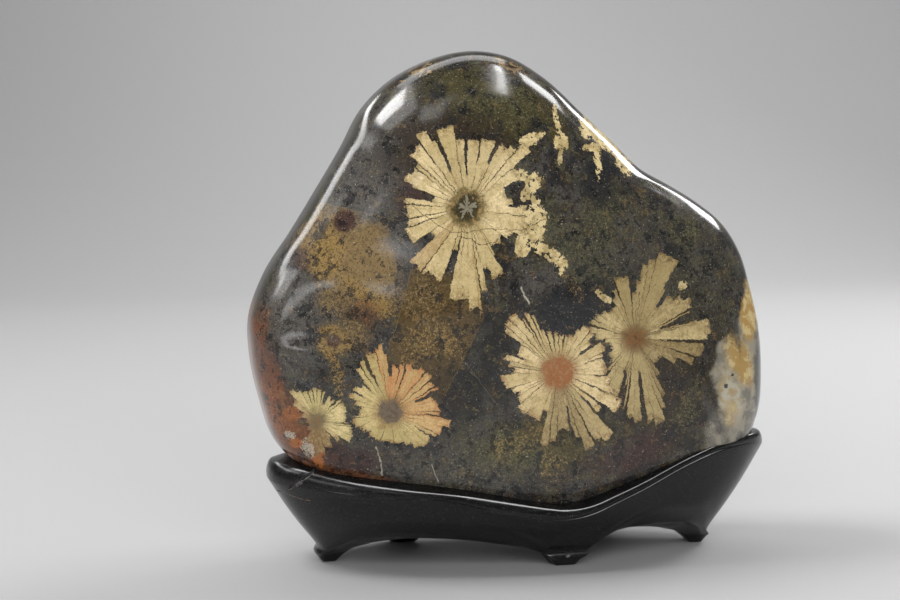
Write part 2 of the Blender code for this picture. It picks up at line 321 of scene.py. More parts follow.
def stone_point(direction):
    """The stone's surface in a direction from its centre: a pillow whose rim follows the outline."""
    d = direction.normalized()
    flat = math.hypot(d.x, d.z)
    angle = math.degrees(math.atan2(d.z, d.x))
    power = round_table(EDGE_POWERS, angle)
    reach = (flat**power + abs(d.y) ** power) ** (-1.0 / power)
    radius = round_table(OUTLINE_PAIRS, angle)
    across = d.x / flat if flat > 1e-9 else 0.0
    up = d.z / flat if flat > 1e-9 else 0.0
    x = STONE_CENTRE.x + radius * flat * reach * across
    z = STONE_CENTRE.z + radius * flat * reach * up
    half = STONE_HALF_FRONT if d.y < 0 else STONE_HALF_BACK
    height_share = max(0.0, (z - STONE_CENTRE.z) / (STONE_TOP - STONE_CENTRE.z))
    half *= 1.0 - STONE_TOP_SLIMMER * height_share**2
    swells = FRONT_RELIEF if d.y < 0 else BACK_RELIEF
    facing = min(1.0, abs(d.y) * reach) ** 1.5
    y = math.copysign(half * abs(d.y) * reach + relief(swells, x, z) * facing, d.y)
    return Vector((x, STONE_CENTRE.y + y, z))


def stone_mesh(grid):
    """A cube cut into a grid and swollen into the stone, so that it has no poles."""
    mesh = bpy.data.meshes.new("stone")
    bm = bmesh.new()
    bmesh.ops.create_cube(bm, size=2.0)
    bmesh.ops.subdivide_edges(bm, edges=bm.edges[:], cuts=grid - 1, use_grid_fill=True)
    for vertex in bm.verts:
        even = Vector([math.tan(c * math.pi / 4) for c in vertex.co])
        vertex.co = stone_point(even)
    bmesh.ops.recalc_face_normals(bm, faces=bm.faces[:])
    bm.to_mesh(mesh)
    bm.free()
    mesh.shade_smooth()
    return mesh


# ------------------------------ the stand's mesh
def power_ring(degrees, half_length, half_depth):
    c, s = math.cos(math.radians(degrees)), math.sin(math.radians(degrees))
    return Vector((
        math.copysign(abs(c) ** (2 / PLAN_POWER), c) * half_length,
        math.copysign(abs(s) ** (2 / PLAN_POWER), s) * half_depth,
    ))


def rim_plan(degrees):
    return power_ring(degrees, RIM_HALF_LENGTH, RIM_HALF_DEPTH) + Vector((STAND_CENTRE_X, 0))


def sole_plan(degrees):
    return power_ring(degrees, SOLE_HALF_LENGTH, SOLE_HALF_DEPTH) + Vector((SOLE_CENTRE_X, 0))


def plan_length(start, end, steps=24):
    """Metres along the sole's plan between two angles."""
    points = [sole_plan(start + (end - start) * k / steps) for k in range(steps + 1)]
    return sum((points[k + 1] - points[k]).length for k in range(steps))


def plan_angle(start, distance):
    """The angle that lies a distance along the sole's plan from another."""
    angle = start
    for _ in range(12):
        gone = math.copysign(plan_length(start, angle), angle - start) if angle != start else 0.0
        speed = plan_length(angle - 0.5, angle + 0.5, 2)
        angle += (distance - gone) / speed
    return angle


FOOT_SIDE_STEPS = (0, 2.5, 4.4, 5.2, 7.4, 8.3, 10, 12, 15, 18.5, 22)
ARCH_STEP = 5 * MM


def plan_samples():
    """All round the plan: degrees, metres along it to the nearest foot's middle, height of the edge."""
    samples = []
    for i, (foot, _, rise_after) in enumerate(FEET):
        following, rise_before, _ = FEET[(i + 1) % len(FEET)]
        span = plan_length(foot, following if following > foot else following + 360)
        steps = [step * MM for step in FOOT_SIDE_STEPS]
        gap = span - 2 * steps[-1]
        parts = max(2, round(gap / ARCH_STEP))
        steps += [steps[-1] + gap * k / parts for k in range(1, parts)]
        steps += [span - step * MM for step in reversed(FOOT_SIDE_STEPS[1:])]
        for step in steps:
            edge = min(line_table(rise_after, step / MM), line_table(rise_before, (span - step) / MM)) * MM
            samples.append((plan_angle(foot, step), min(step, span - step), edge))
    return samples


def wall_point(degrees, inward, height):
    """A point inward from the rim: 0 is the rim's plan and 1 the sole's, and past 1 is under the stand."""
    plan = rim_plan(degrees).lerp(sole_plan(degrees), inward)
    return Vector((plan.x, plan.y, height))


def section(degrees, from_foot, edge, groove_depth):
    """One cut through the stand, from the middle of its top over the lip, down the wall and under."""
    edge_height = round_table(RIM_HEIGHTS, degrees) * MM
    radius = round_table(BEAD_RADII, degrees) * MM
    depth = (rim_plan(degrees) - sole_plan(degrees)).length
    ankle = FOOT_SECTION[0][1] * MM
    bead_in, bead_up = BEAD_SLENDER * radius, BEAD_TALL * radius
    face_end = edge_height - bead_up - FACE_DROP * BEAD_FACE
    groove = face_end - GROOVE_DROP * BEAD_FACE
    lip_rise = round_table(LIP_RISES, degrees) * MM
    groove_depth *= round_table(GROOVE_SHARES, degrees)

    def on_wall(height):
        share = (groove - height) / (groove - ankle)
        return share - WALL_BULGE * math.sin(math.pi * share)

    def inset(distance, height):
        return wall_point(degrees, distance / depth, height)

    points = [inset(reach * LIP_REACH, edge_height + share * lip_rise) for reach, share in LIP_SLOPE]
    for inward, share in LIP_SECTION:
        points.append(inset(bead_in + inward * MM, edge_height + share * lip_rise))
    for turn in BEAD_TURNS:
        c, s = math.cos(math.radians(turn)), math.sin(math.radians(turn))
        points.append(inset((1 - c) * bead_in, edge_height - (1 - s) * bead_up))
    for level, shape in ((face_end, FACE_SECTION), (groove, GROOVE_SECTION)):
        for share, rise in shape:
            points.append(inset(share * groove_depth, level + rise * BEAD_FACE))

    cove = smooth_share(COVE_FROM, COVE_TO, from_foot)
    top = max(ankle, edge + FOOT_LEAST)
    turn_height = min(top + (edge + COVE_SECTION[0][1] * MM - top) * cove, groove - WALL_LEAST)
    for share in WALL_SHARES:
        height = groove + (turn_height - groove) * share
        points.append(wall_point(degrees, on_wall(height), height))

    toe = 1 - smooth_share(TOE_KEPT, TOE_GONE, edge)
    lower = []
    for k, ((foot_in, foot_up), (cove_in, cove_up)) in enumerate(zip(FOOT_SECTION, COVE_SECTION)):
        foot_z = top if k == 0 else max(foot_up * MM, edge)
        flare = foot_in * toe if foot_in < 0 else foot_in
        foot_share = on_wall(max(foot_z, ankle)) + flare * MM / depth
        inward = foot_share + (on_wall(turn_height) + cove_in * MM / depth - foot_share) * cove
        height = foot_z + (edge + cove_up * MM - foot_z) * cove
        lower.append((inward, height))
    for k, (inward, height) in enumerate(lower):
        points.append(wall_point(degrees, inward, height))
        if k in CRISP_STRETCHES:
            after_in, after_up = lower[k + 1]
            for share in CRISP_SHARES:
                points.append(wall_point(
                    degrees, inward + (after_in - inward) * share, height + (after_up - height) * share))
    ceiling = power_ring(degrees, CEILING_HALF_LENGTH, CEILING_HALF_DEPTH)
    points.append(Vector((SOLE_CENTRE_X + ceiling.x, ceiling.y, CEILING_HEIGHT)))
    return points


def stand_block(groove_depth):
    """The stand before its seat is hollowed: rings of points from the top's middle to the underside's."""
    rings = []
    bm = bmesh.new()
    for degrees, from_foot, edge in plan_samples():
        rings.append([bm.verts.new(p) for p in section(degrees, from_foot, edge, groove_depth)])
    top_middle = bm.verts.new((STAND_CENTRE_X, 0, BLOCK_MIDDLE_HEIGHT))
    ceiling_middle = bm.verts.new((SOLE_CENTRE_X, 0, CEILING_HEIGHT))
    for i, ring in enumerate(rings):
        following = rings[(i + 1) % len(rings)]
        for k in range(len(ring) - 1):
            bm.faces.new((ring[k], ring[k + 1], following[k + 1], following[k]))
        bm.faces.new((top_middle, ring[0], following[0]))
        bm.faces.new((ceiling_middle, following[-1], ring[-1]))
    bmesh.ops.recalc_face_normals(bm, faces=bm.faces[:])
    mesh = bpy.data.meshes.new("stand_block")
    bm.to_mesh(mesh)
    bm.free()
    return mesh


# ------------------------------ node helpers
class Nodes:
    """Short calls that add nodes to one tree, and link what they are given."""

    def __init__(self, tree):
        self.tree = tree

    def add(self, kind, **settings):
        node = self.tree.nodes.new(kind)
        for name, value in settings.items():
            setattr(node, name, value)
        return node

    def put(self, socket, value):
        """Links a socket, or sets a plain number, vector or colour on it."""
        if isinstance(value, bpy.types.NodeSocket):
            self.tree.links.new(value, socket)
        elif value is not None:
            socket.default_value = value

    def make(self, kind, inputs, **settings):
        """A node whose named inputs are linked or set."""
        node = self.add(kind, **settings)
        for name, value in inputs.items():
            self.put(node.inputs[name], value)
        return node

    def math(self, operation, a, b=None):
        node = self.add("ShaderNodeMath", operation=operation)
        self.put(node.inputs[0], a)
        self.put(node.inputs[1], b)
        return node.outputs[0]

    def plus(self, a, b):
        return self.math("ADD", a, b)

    def minus(self, a, b):
        return self.math("SUBTRACT", a, b)

    def times(self, a, b):
        return self.math("MULTIPLY", a, b)

    def length(self, a, b):
        return self.math("SQRT", self.plus(self.times(a, a), self.times(b, b)))

    def vector(self, operation, a, b=None, scale=None):
        node = self.add("ShaderNodeVectorMath", operation=operation)
        self.put(node.inputs[0], a)
        self.put(node.inputs[1], b)
        if scale is not None:
            self.put(node.inputs["Scale"], scale)
        return node.outputs[0]

    def split(self, vector):
        node = self.add("ShaderNodeSeparateXYZ")
        self.put(node.inputs[0], vector)
        return node.outputs

    def mix(self, share, a, b):
        node = self.add("ShaderNodeMix", data_type="RGBA")
        self.put(node.inputs["Factor"], share)
        self.put(node.inputs[6], a)
        self.put(node.inputs[7], b)
        return node.outputs[2]

    def ramp(self, kind, *numbers):
        node = self.add("ShaderNodeMapRange", interpolation_type=kind, clamp=False)
        for socket, number in zip(node.inputs, numbers):
            self.put(socket, number)
        return node.outputs[0]

    def step(self, value, low, high, to_low=0.0, to_high=1.0):
        """A smooth ramp between two values."""
        return self.ramp("SMOOTHSTEP", value, low, high, to_low, to_high)

    def line(self, value, low, high, to_low=0.0, to_high=1.0):
        """A straight ramp between two values, which goes on beyond them."""
        return self.ramp("LINEAR", value, low, high, to_low, to_high)

    def noise(self, vector, scale, detail, roughness, distortion=0.0):
        return self.make("ShaderNodeTexNoise", {
            "Vector": vector, "Scale": scale, "Detail": detail, "Roughness": roughness,
            "Distortion": distortion,
        }).outputs[0]

    def group(self, tree, **values):
        node = self.add("ShaderNodeGroup", node_tree=tree)
        for name, value in values.items():
            self.put(node.inputs[name.replace("_", " ").title()], value)
        return node.outputs


def new_group(name, inputs, outputs):
    """A shader node group. Commas part the names of its inputs and outputs, and only Shape is a colour."""
    tree = bpy.data.node_groups.new(name, "ShaderNodeTree")
    for way, labels in (("INPUT", inputs), ("OUTPUT", outputs)):
        for label in labels.split(", "):
            kind = "NodeSocketColor" if label == "Shape" else "NodeSocketFloat"
            tree.interface.new_socket(label, in_out=way, socket_type=kind)
    nodes = Nodes(tree)
    return nodes, nodes.add("NodeGroupInput").outputs, nodes.add("NodeGroupOutput").inputs


def new_material(name):
    """A material with nodes, the short calls for its tree, and its shader."""
    material = bpy.data.materials.new(name)
    material.use_nodes = True
    return material, Nodes(material.node_tree), material.node_tree.nodes["Principled BSDF"]


def opaque(colour):
    return (*colour, 1)


def all_opaque(colours):
    return {name: opaque(colour) for name, colour in colours.items()}


def marking_groups():
    """The node groups that both finishes share, made on first use."""
    makers = (("flower_wheel", make_wheel_group), ("flower_petals", make_petals_group),
              ("stone_patch", make_patch_group), ("stone_vein", make_vein_group))
    return {name.split("_")[1]: bpy.data.node_groups.get(name) or make() for name, make in makers}


def make_wheel_group():
    """Turns a place on the stone's face into an angle and a distance round a flower's middle."""
    n, given, out = new_group("flower_wheel", "Face X, Face Z, Across, Up, Turned", "Turn, Distance")
    dx = n.minus(given["Face X"], given["Across"])
    dz = n.minus(given["Face Z"], given["Up"])
    turn = n.math("DIVIDE", n.math("ARCTAN2", dz, dx), TAU)
    n.put(out["Turn"], n.math("FRACT", n.plus(turn, given["Turned"])))
    n.put(out["Distance"], n.length(dx, dz))
    return n.tree


# How far the ends of the petals wander with the fine and with the broad noise, and how soft they are.
RAGGED_REACH, PATCHY_REACH = 6 * MM, 5 * MM
PETAL_EDGE = (-0.12 * MM, 0.22 * MM)
# The darker border beside the cracks between petals, and the cracks' width and softness.
SIDE_WIDTH = 0.38 * MM
SPLIT_WIDTH = 0.6 * MM
SPLIT_EDGE = (-0.1 * MM, 0.08 * MM)


def make_petals_group():
    """Cuts a flower's petals out of its wheel. Shape holds a petal's reach, middle and half width."""
    n, given, out = new_group(
        "flower_petals", "Turn, Distance, Shape, Ragged, Patchy, Reach, Split Width",
        "Petal, Split, Side, Outward, Chance")
    reach, middle, half = n.split(given["Shape"])
    ragged = n.times(n.minus(given["Ragged"], 0.5), RAGGED_REACH)
    patchy = n.times(n.minus(given["Patchy"], 0.5), PATCHY_REACH)
    end = n.plus(n.times(reach, given["Reach"]), n.plus(ragged, patchy))
    outward = n.math("DIVIDE", given["Distance"], end)
    n.put(out["Outward"], outward)
    whole = n.step(n.minus(end, given["Distance"]), *PETAL_EDGE)
    eaten = n.minus(given["Ragged"], n.step(outward, 0.45, 1.0, 0.86, 0.64))
    n.put(out["Petal"], n.times(whole, n.step(eaten, -0.01, 0.02, 1.0, 0.0)))
    hashed = n.add("ShaderNodeTexWhiteNoise", noise_dimensions="1D")
    n.put(hashed.inputs["W"], n.times(middle, 97.0))
    chance = hashed.outputs["Value"]
    n.put(out["Chance"], chance)
    off = n.minus(given["Turn"], middle)
    off = n.math("ABSOLUTE", n.minus(off, n.math("ROUND", off)))
    side = n.minus(n.times(half, 0.125), off)
    side = n.times(n.times(side, TAU), given["Distance"])
    near = n.step(side, 0.0, SIDE_WIDTH, 1.0, 0.0)
    fading = n.times(n.step(given["Patchy"], 0.42, 0.54), n.step(outward, 0.30, 0.62, 0.15, 1.0))
    n.put(out["Side"], n.times(near, fading))
    width = n.times(n.line(chance, 0.0, 1.0, -2.2, 1.0), given["Split Width"])
    width = n.times(width, n.step(outward, 0.42, 0.95))
    n.put(out["Split"], n.step(n.minus(side, width), *SPLIT_EDGE, 1.0, 0.0))
    return n.tree


def make_patch_group():
    """An oval patch on the face: one noise breaks its edge, and another thins it into specks."""
    n, given, out = new_group(
        "stone_patch", "Face X, Face Z, Across, Up, Wide, High, Lean, Noise, Broken, Soft, Grain, Cover, "
        "Specks", "Patch")
    dx = n.minus(given["Face X"], given["Across"])
    dz = n.minus(given["Face Z"], given["Up"])
    c, s = n.math("COSINE", given["Lean"]), n.math("SINE", given["Lean"])
    along = n.plus(n.times(dx, c), n.times(dz, s))
    across = n.minus(n.times(dz, c), n.times(dx, s))
    along = n.math("DIVIDE", along, given["Wide"])
    across = n.math("DIVIDE", across, given["High"])
    away = n.length(along, across)
    away = n.plus(away, n.times(n.minus(given["Noise"], 0.5), given["Broken"]))
    whole = n.step(away, n.minus(1.0, given["Soft"]), n.plus(1.0, given["Soft"]), 1.0, 0.0)
    whole = n.times(whole, given["Cover"])
    level = n.line(whole, 0.0, 1.0, 0.68, 0.38)
    specks = n.step(n.minus(given["Grain"], level), -0.025, 0.03)
    n.put(out["Patch"], n.plus(
        n.times(specks, given["Specks"]), n.times(whole, n.minus(1.0, given["Specks"]))))
    return n.tree


def make_vein_group():
    """A thin line on the face, from a start along a run."""
    n, given, out = new_group(
        "stone_vein", "Face X, Face Z, Start X, Start Z, Run X, Run Z, Half Width", "Vein")
    dx = n.minus(given["Face X"], given["Start X"])
    dz = n.minus(given["Face Z"], given["Start Z"])
    run_x, run_z = given["Run X"], given["Run Z"]
    length = n.plus(n.times(run_x, run_x), n.times(run_z, run_z))
    share = n.plus(n.times(dx, run_x), n.times(dz, run_z))
    share = n.math("MINIMUM", n.math("MAXIMUM", n.math("DIVIDE", share, length), 0.0), 1.0)
    dx = n.minus(dx, n.times(share, run_x))
    dz = n.minus(dz, n.times(share, run_z))
    away = n.length(dx, dz)
    n.put(out["Vein"], n.step(away, n.times(given["Half Width"], 0.35), given["Half Width"], 1.0, 0.0))
    return n.tree


def patch_mask(n, groups, face_x, face_z, noise, grain, across, up, wide, high, lean, broken, soft, cover,
               specks):
    """Where a patch lies. Its place and size are in millimetres, and its lean in degrees."""
    return n.group(
        groups["patch"], face_x=face_x, face_z=face_z, across=across * MM, up=up * MM, wide=wide * MM,
        high=high * MM, lean=math.radians(lean), noise=noise, broken=broken, soft=soft, grain=grain,
        cover=cover, specks=specks)[0]


def vein_mask(n, groups, face_x, face_z, start, end, half_width):
    """Where a straight thin line lies, in millimetres."""
    (x0, z0), (x1, z1) = start, end
    return n.group(
        groups["vein"], face_x=face_x, face_z=face_z, start_x=x0 * MM, start_z=z0 * MM,
        run_x=(x1 - x0) * MM, run_z=(z1 - z0) * MM, half_width=half_width * MM)[0]


# A flower's petals, one after another from 0 degrees: the angle where each ends, its reach, and how brown it
# is (0 to 1) if it is. Angles run anticlockwise from the right in degrees, and lengths are in millimetres. A
# short one is a gap or a crack.
FIRST_FLOWER = (
    (4, 19), (12, 20), (20, 18.2), (28, 18.5), (40, 27.2), (48, 37.5), (54, 33.4), (62, 31.2), (65, 22),
    (76.5, 31.2), (78, 20), (89.6, 29.9), (91.6, 14.5), (98.5, 30.3), (112, 36.5), (114.5, 17, 0.4),
    (118, 32.8), (124, 38.7), (125.8, 24), (131, 34.7), (137, 34), (142, 29), (148, 28.6), (156, 30),
    (159, 25.5), (169, 15.4), (176, 27), (190, 26.6), (195.5, 26.8), (197.3, 13.6), (213, 29), (222, 18.5),
    (234, 34.3, 0.5), (249.5, 33.8), (257.5, 18.5), (263.5, 40.9), (271, 40), (277, 44.4), (279, 45.7, 0.4),
    (283, 37.4), (289, 27.7), (299, 32.3), (302, 24), (321, 20.2), (331, 22.9), (351, 27.2), (360, 25.5),
)
SECOND_FLOWER = (
    (5, 22), (14.5, 21.2), (16.5, 13), (21, 22), (35.5, 23.3), (38, 13), (44, 19), (52, 23), (61, 23.6),
    (66, 21.2), (72, 17.2), (80, 16.5), (88, 17), (98, 17.4), (107, 18.5), (112, 20.3), (116, 28.2),
    (121, 30.4), (125, 29), (131, 33), (137, 32.2), (141, 31.7, 0.2), (156, 20.7), (158.5, 16.3),
    (165, 24.7), (172, 22.5, 0.3), (180, 20.7), (198, 25.1), (204, 22.3), (210, 20.3), (218, 21.4),
    (232, 23.6, 0.15), (248, 22.5, 0.1), (255.5, 18), (262, 33, 0.7), (270, 31.7, 0.75), (282, 27.1, 0.8),
    (284.3, 16), (289, 31.7, 0.9), (297, 37.9, 0.8), (303, 36.1, 0.6), (312, 38.8, 0.4), (314, 15),
    (321, 26), (323, 20), (335, 32.2), (336.8, 13), (343, 26.9), (352, 23.8), (354.3, 16.7), (360, 22),
)
THIRD_FLOWER = (
    (10, 36, 0.2), (13, 30.6, 0.3), (16, 21, 0.4), (21, 12.6), (24.5, 27.9, 0.3), (29, 29.7, 0.35),
    (35, 30.6, 0.35), (42, 27.9, 0.4), (50, 24.3, 0.4), (56, 17, 0.3), (59, 26, 0.3), (74, 39.6, 0.22),
    (80, 36, 0.35), (83.5, 33.3, 0.3), (88, 26, 0.3), (94.5, 20.5, 0.25), (96.5, 16), (110, 28.3, 0.2),
    (115, 24.3, 0.2), (120, 20.7, 0.1), (127, 17.5), (136, 16.7), (146, 19.1), (154, 20.7), (162, 22),
    (171, 21.1), (179, 18), (186, 14), (206, 12), (218, 13.5), (226, 15.3), (233, 18), (240, 22.5),
    (252, 27), (257, 14), (260, 21.6), (263, 30.6), (270, 36), (275.5, 37.8), (279.5, 15.3), (284, 38.7),
    (291, 41), (295, 35.1, 0.3), (300, 29.7, 0.6), (306, 20.7, 0.8), (325, 14.9, 0.6), (333, 22.5, 0.8),
    (341, 29.7, 0.8), (353, 32.9, 0.7), (355.5, 15), (360, 34.7),
)
FOURTH_FLOWER = (
    (8, 21.1, 0.55), (14, 20.3, 0.5), (20.5, 19.2, 0.6), (24, 11.5), (29, 22.9, 0.8), (38, 22, 0.45),
    (48, 23.3, 0.35), (50, 20.3, 0.9), (56, 23.5, 0.75), (66, 22, 0.45), (70.5, 22.7, 0.8), (72, 12.8),
    (80, 21.6, 0.65), (88.5, 20.7, 0.8), (93.5, 15.9, 0.85), (97, 26.4, 0.5), (100, 30.4, 0.35),
    (104, 28.6, 0.7), (114.5, 27.5, 0.1), (116.5, 13.2), (123, 26.4), (129, 24.7), (132, 18.5), (134, 13.7),
    (141, 17.6), (149, 19.2), (151, 14), (160, 19), (168, 15.9), (174, 13.2), (186, 13.7), (190, 15.9),
    (205, 17.2), (220, 14.5), (250, 14.1), (275, 14.3), (292, 15.2), (302, 16.7), (310, 19.2), (318, 20.9),
    (325.5, 20.7), (327.5, 13.2), (333, 22.5, 0.2), (342, 23.8, 0.45), (350.5, 26.7, 0.45),
    (354, 22.5, 0.8), (360, 20.9, 0.6),
)
FIFTH_FLOWER = (
    (6, 12.3), (18, 13), (30, 14.1), (38, 13.7), (47, 13.9), (54, 12.1), (58, 11.5), (64, 13.2), (72, 8.8),
    (80, 13.9), (90, 14.1), (98, 14.8), (108, 14.1), (118, 14.5), (126, 15.9), (134, 17.2, 0.3),
    (150, 13.2, 0.6), (170, 7.5, 0.8), (215, 4.4, 1), (240, 5.7, 1), (262, 11.5, 0.9), (285, 16.7, 0.9),
    (300, 13.2, 0.8), (314, 10.6, 0.6), (326, 11.7, 0.3), (338, 17), (350, 15.9), (356, 15), (360, 12.8),
)
REACH_UNIT = 50.0
RAMP_STOPS = 32


def petal_ramp(n, turn, petals):
    """Stepped ramps round a flower, of each petal's reach, middle, half width and (in alpha) browning."""
    sectors = []
    start = 0
    for end, reach, *browning in petals:
        sectors.append((start, end, reach, browning[0] if browning else 0))
        start = end
    colour = tint = None
    for half in filter(None, (sectors[:RAMP_STOPS], sectors[RAMP_STOPS:])):
        node = n.add("ShaderNodeValToRGB")
        ramp = node.color_ramp
        ramp.interpolation = "CONSTANT"
        while len(ramp.elements) > 1:
            ramp.elements.remove(ramp.elements[-1])
        for k, (start, end, reach, browning) in enumerate(half):
            stop = ramp.elements[0] if k == 0 else ramp.elements.new(start / 360)
            stop.position = start / 360
            stop.color = (reach / REACH_UNIT, (start + end) / 720, (end - start) / 90, browning)
        n.put(node.inputs[0], turn)
        if colour is None:
            colour, tint = node.outputs
        else:
            second = n.math("GREATER_THAN", turn, half[0][0] / 360)
            colour = n.mix(second, colour, node.outputs[0])
            browner = n.times(n.minus(node.outputs[1], tint), second)
            tint = n.plus(tint, browner)
    return colour, tint


# The flowers, the lowest first. Places over the face and lengths are in millimetres, and back is the place,
# turn and size of the same flower behind. Lines and halo are the strength of the cracks' borders and of the
# brown ring round the eye.
FLOWERS = (
    dict(petals=THIRD_FLOWER, face=(54.2, 105.7), back=(-40, 120, 0.3, 0.9), eye=5.0, blur=5.0,
         light=(0.680, 0.535, 0.265), deep=(0.400, 0.300, 0.130), tint=(0.190, 0.125, 0.048),
         middle=(0.215, 0.100, 0.030), spot=(0.100, 0.055, 0.020), edge=(0.150, 0.090, 0.034)),
    dict(petals=FIRST_FLOWER, face=(-21.5, 165.0), back=(30, 80, 0.55, 0.8), eye=8.4, blur=2.4,
         light=(0.930, 0.745, 0.410), deep=(0.500, 0.370, 0.150), tint=(0.330, 0.165, 0.050),
         middle=(0.190, 0.140, 0.050), spot=(0.420, 0.260, 0.100), edge=(0.270, 0.175, 0.062),
         lines=0.22, halo=0.22),
    dict(petals=SECOND_FLOWER, face=(19.2, 91.5), back=(8, 176, 0.15, 0.75), eye=7.2, blur=2.6,
         light=(0.870, 0.690, 0.375), deep=(0.550, 0.420, 0.180), tint=(0.235, 0.165, 0.075),
         middle=(0.350, 0.135, 0.043), spot=(0.400, 0.215, 0.095), edge=(0.270, 0.120, 0.050)),
    dict(petals=FOURTH_FLOWER, face=(-55.0, 75.6), back=(62, 130, 0.7, 0.8), eye=5.2, blur=2.2,
         light=(0.760, 0.600, 0.275), deep=(0.500, 0.400, 0.155), tint=(0.640, 0.240, 0.085),
         middle=(0.165, 0.125, 0.085), spot=(0.110, 0.080, 0.050), edge=(0.300, 0.150, 0.050)),
    dict(petals=FIFTH_FLOWER, face=(-87.6, 71.4), back=(-62, 66, 0.4, 1.0), eye=3.4, blur=2.5,
         light=(0.830, 0.670, 0.330), deep=(0.500, 0.410, 0.165), tint=(0.220, 0.100, 0.040),
         middle=(0.200, 0.150, 0.075), spot=(0.260, 0.120, 0.040), edge=(0.220, 0.140, 0.055)),
)
LINES, HALO = 0.42, 0.50
HALO_REACH = 4.5
# How far the edge of a flower's eye wanders with the broad and with the fine noise.
EYE_WANDER, EYE_RAGGED = 6 * MM, 5 * MM
# The first flower's eye: a dark core, and the size and softness of the pale star in it.
CORE_EDGE = (4.6 * MM, 7.0 * MM)
STAR_SIZE = 1.3 * MM
STAR_EDGE = (-0.3 * MM, 0.4 * MM)
FLOWER_COLOURS = {
    "crack": (0.022, 0.016, 0.009),
    "core": (0.012, 0.011, 0.006),
    "core_fleck": (0.060, 0.048, 0.018),
    "star": (0.310, 0.280, 0.195),
    "shade": (0, 0, 0),
}
FACE_TURN = math.radians(12.5)


def lay_flower(n, groups, ground, flower, face_x, face_z, behind, mottle, fine, grain, crackle):
    """Lays one flower over a colour, and its fellow on the back."""

    def either(front_value, back_value):
        return n.line(behind, 0.0, 1.0, front_value, back_value)

    (across, up), (back_across, back_up, back_turned, back_size) = flower["face"], flower["back"]
    turn, distance = n.group(
        groups["wheel"], face_x=face_x, face_z=face_z, across=either(across * MM, back_across * MM),
        up=either(up * MM, back_up * MM), turned=either(0.0, back_turned))
    shape, tint = petal_ramp(n, turn, flower["petals"])
    petal, split, side, outward, chance = n.group(
        groups["petals"], turn=turn, distance=distance, shape=shape, ragged=fine, patchy=mottle,
        reach=either(REACH_UNIT * MM, REACH_UNIT * MM * back_size), split_width=SPLIT_WIDTH)
    middle = n.plus(distance, n.times(n.minus(mottle, 0.5), EYE_WANDER))
    middle = n.plus(middle, n.times(n.minus(fine, 0.5), EYE_RAGGED))

    fibre = n.add("ShaderNodeTexNoise", noise_dimensions="1D")
    swirl = n.plus(n.times(turn, 130.0), n.times(mottle, 8.0))
    for name, value in (("W", swirl), ("Scale", 1.0), ("Detail", 2.0), ("Roughness", 0.6)):
        n.put(fibre.inputs[name], value)
    fibre = fibre.outputs[0]

    light, deep, edge, brown, eye_ground, eye_spot = (
        opaque(flower[name]) for name in ("light", "deep", "edge", "tint", "middle", "spot"))
    paints = all_opaque(FLOWER_COLOURS)
    body = n.mix(n.step(fibre, 0.50, 0.72, 0.0, 0.42), light, deep)
    body = n.mix(n.step(chance, 0.40, 1.0, 0.0, 0.45), body, deep)
    upright = n.math("ABSOLUTE", n.math("SINE", n.times(turn, TAU)))
    body = n.mix(n.step(upright, 0.55, 0.95, 0.0, 0.55), body, deep)
    body = n.mix(n.step(mottle, 0.50, 0.60, 0.0, 0.55), body, deep)
    body = n.mix(n.step(fine, 0.56, 0.66, 0.0, 0.30), body, edge)
    body = n.mix(n.times(side, flower.get("lines", LINES)), body, edge)
    body = n.mix(crackle, body, edge)
    stained = n.times(n.step(outward, 0.82, 1.0), n.step(fine, 0.42, 0.58))
    body = n.mix(n.times(stained, 0.75), body, edge)
    tinted = n.times(tint, n.step(n.plus(fibre, fine), 0.80, 1.20, 0.55, 1.0))
    body = n.mix(tinted, body, brown)
    inner = n.step(
        middle, flower["eye"] * MM, (flower["eye"] + HALO_REACH) * MM, flower.get("halo", HALO), 0.0)
    body = n.mix(inner, body, edge)
    body = n.mix(n.times(split, 0.92), body, paints["crack"])
    spotted = n.mix(n.step(fine, 0.50, 0.60, 0.0, 0.8), eye_ground, eye_spot)
    blur = flower["blur"] / 2
    eye = n.step(middle, (flower["eye"] - blur) * MM, (flower["eye"] + blur) * MM, 0.95, 0.0)
    body = n.mix(eye, body, spotted)
    if flower["petals"] is FIRST_FLOWER:
        # Its dark eye holds a pale star.
        core = n.step(middle, *CORE_EDGE, 0.88, 0.0)
        body = n.mix(core, body, n.mix(n.step(grain, 0.42, 0.60), paints["core"], paints["core_fleck"]))
        points = n.math("SINE", n.times(turn, 5 * TAU))
        more = n.math("SINE", n.plus(n.times(turn, 12 * TAU), 1.0))
        points = n.times(n.plus(n.plus(points, more), 1.9), STAR_SIZE)
        star = n.step(n.minus(middle, points), *STAR_EDGE, 0.85, 0.0)
        body = n.mix(star, body, paints["star"])
    body = n.mix(n.step(grain, 0.35, 0.60, 0.20, 0.0), body, paints["shade"])
    return n.mix(petal, ground, body)


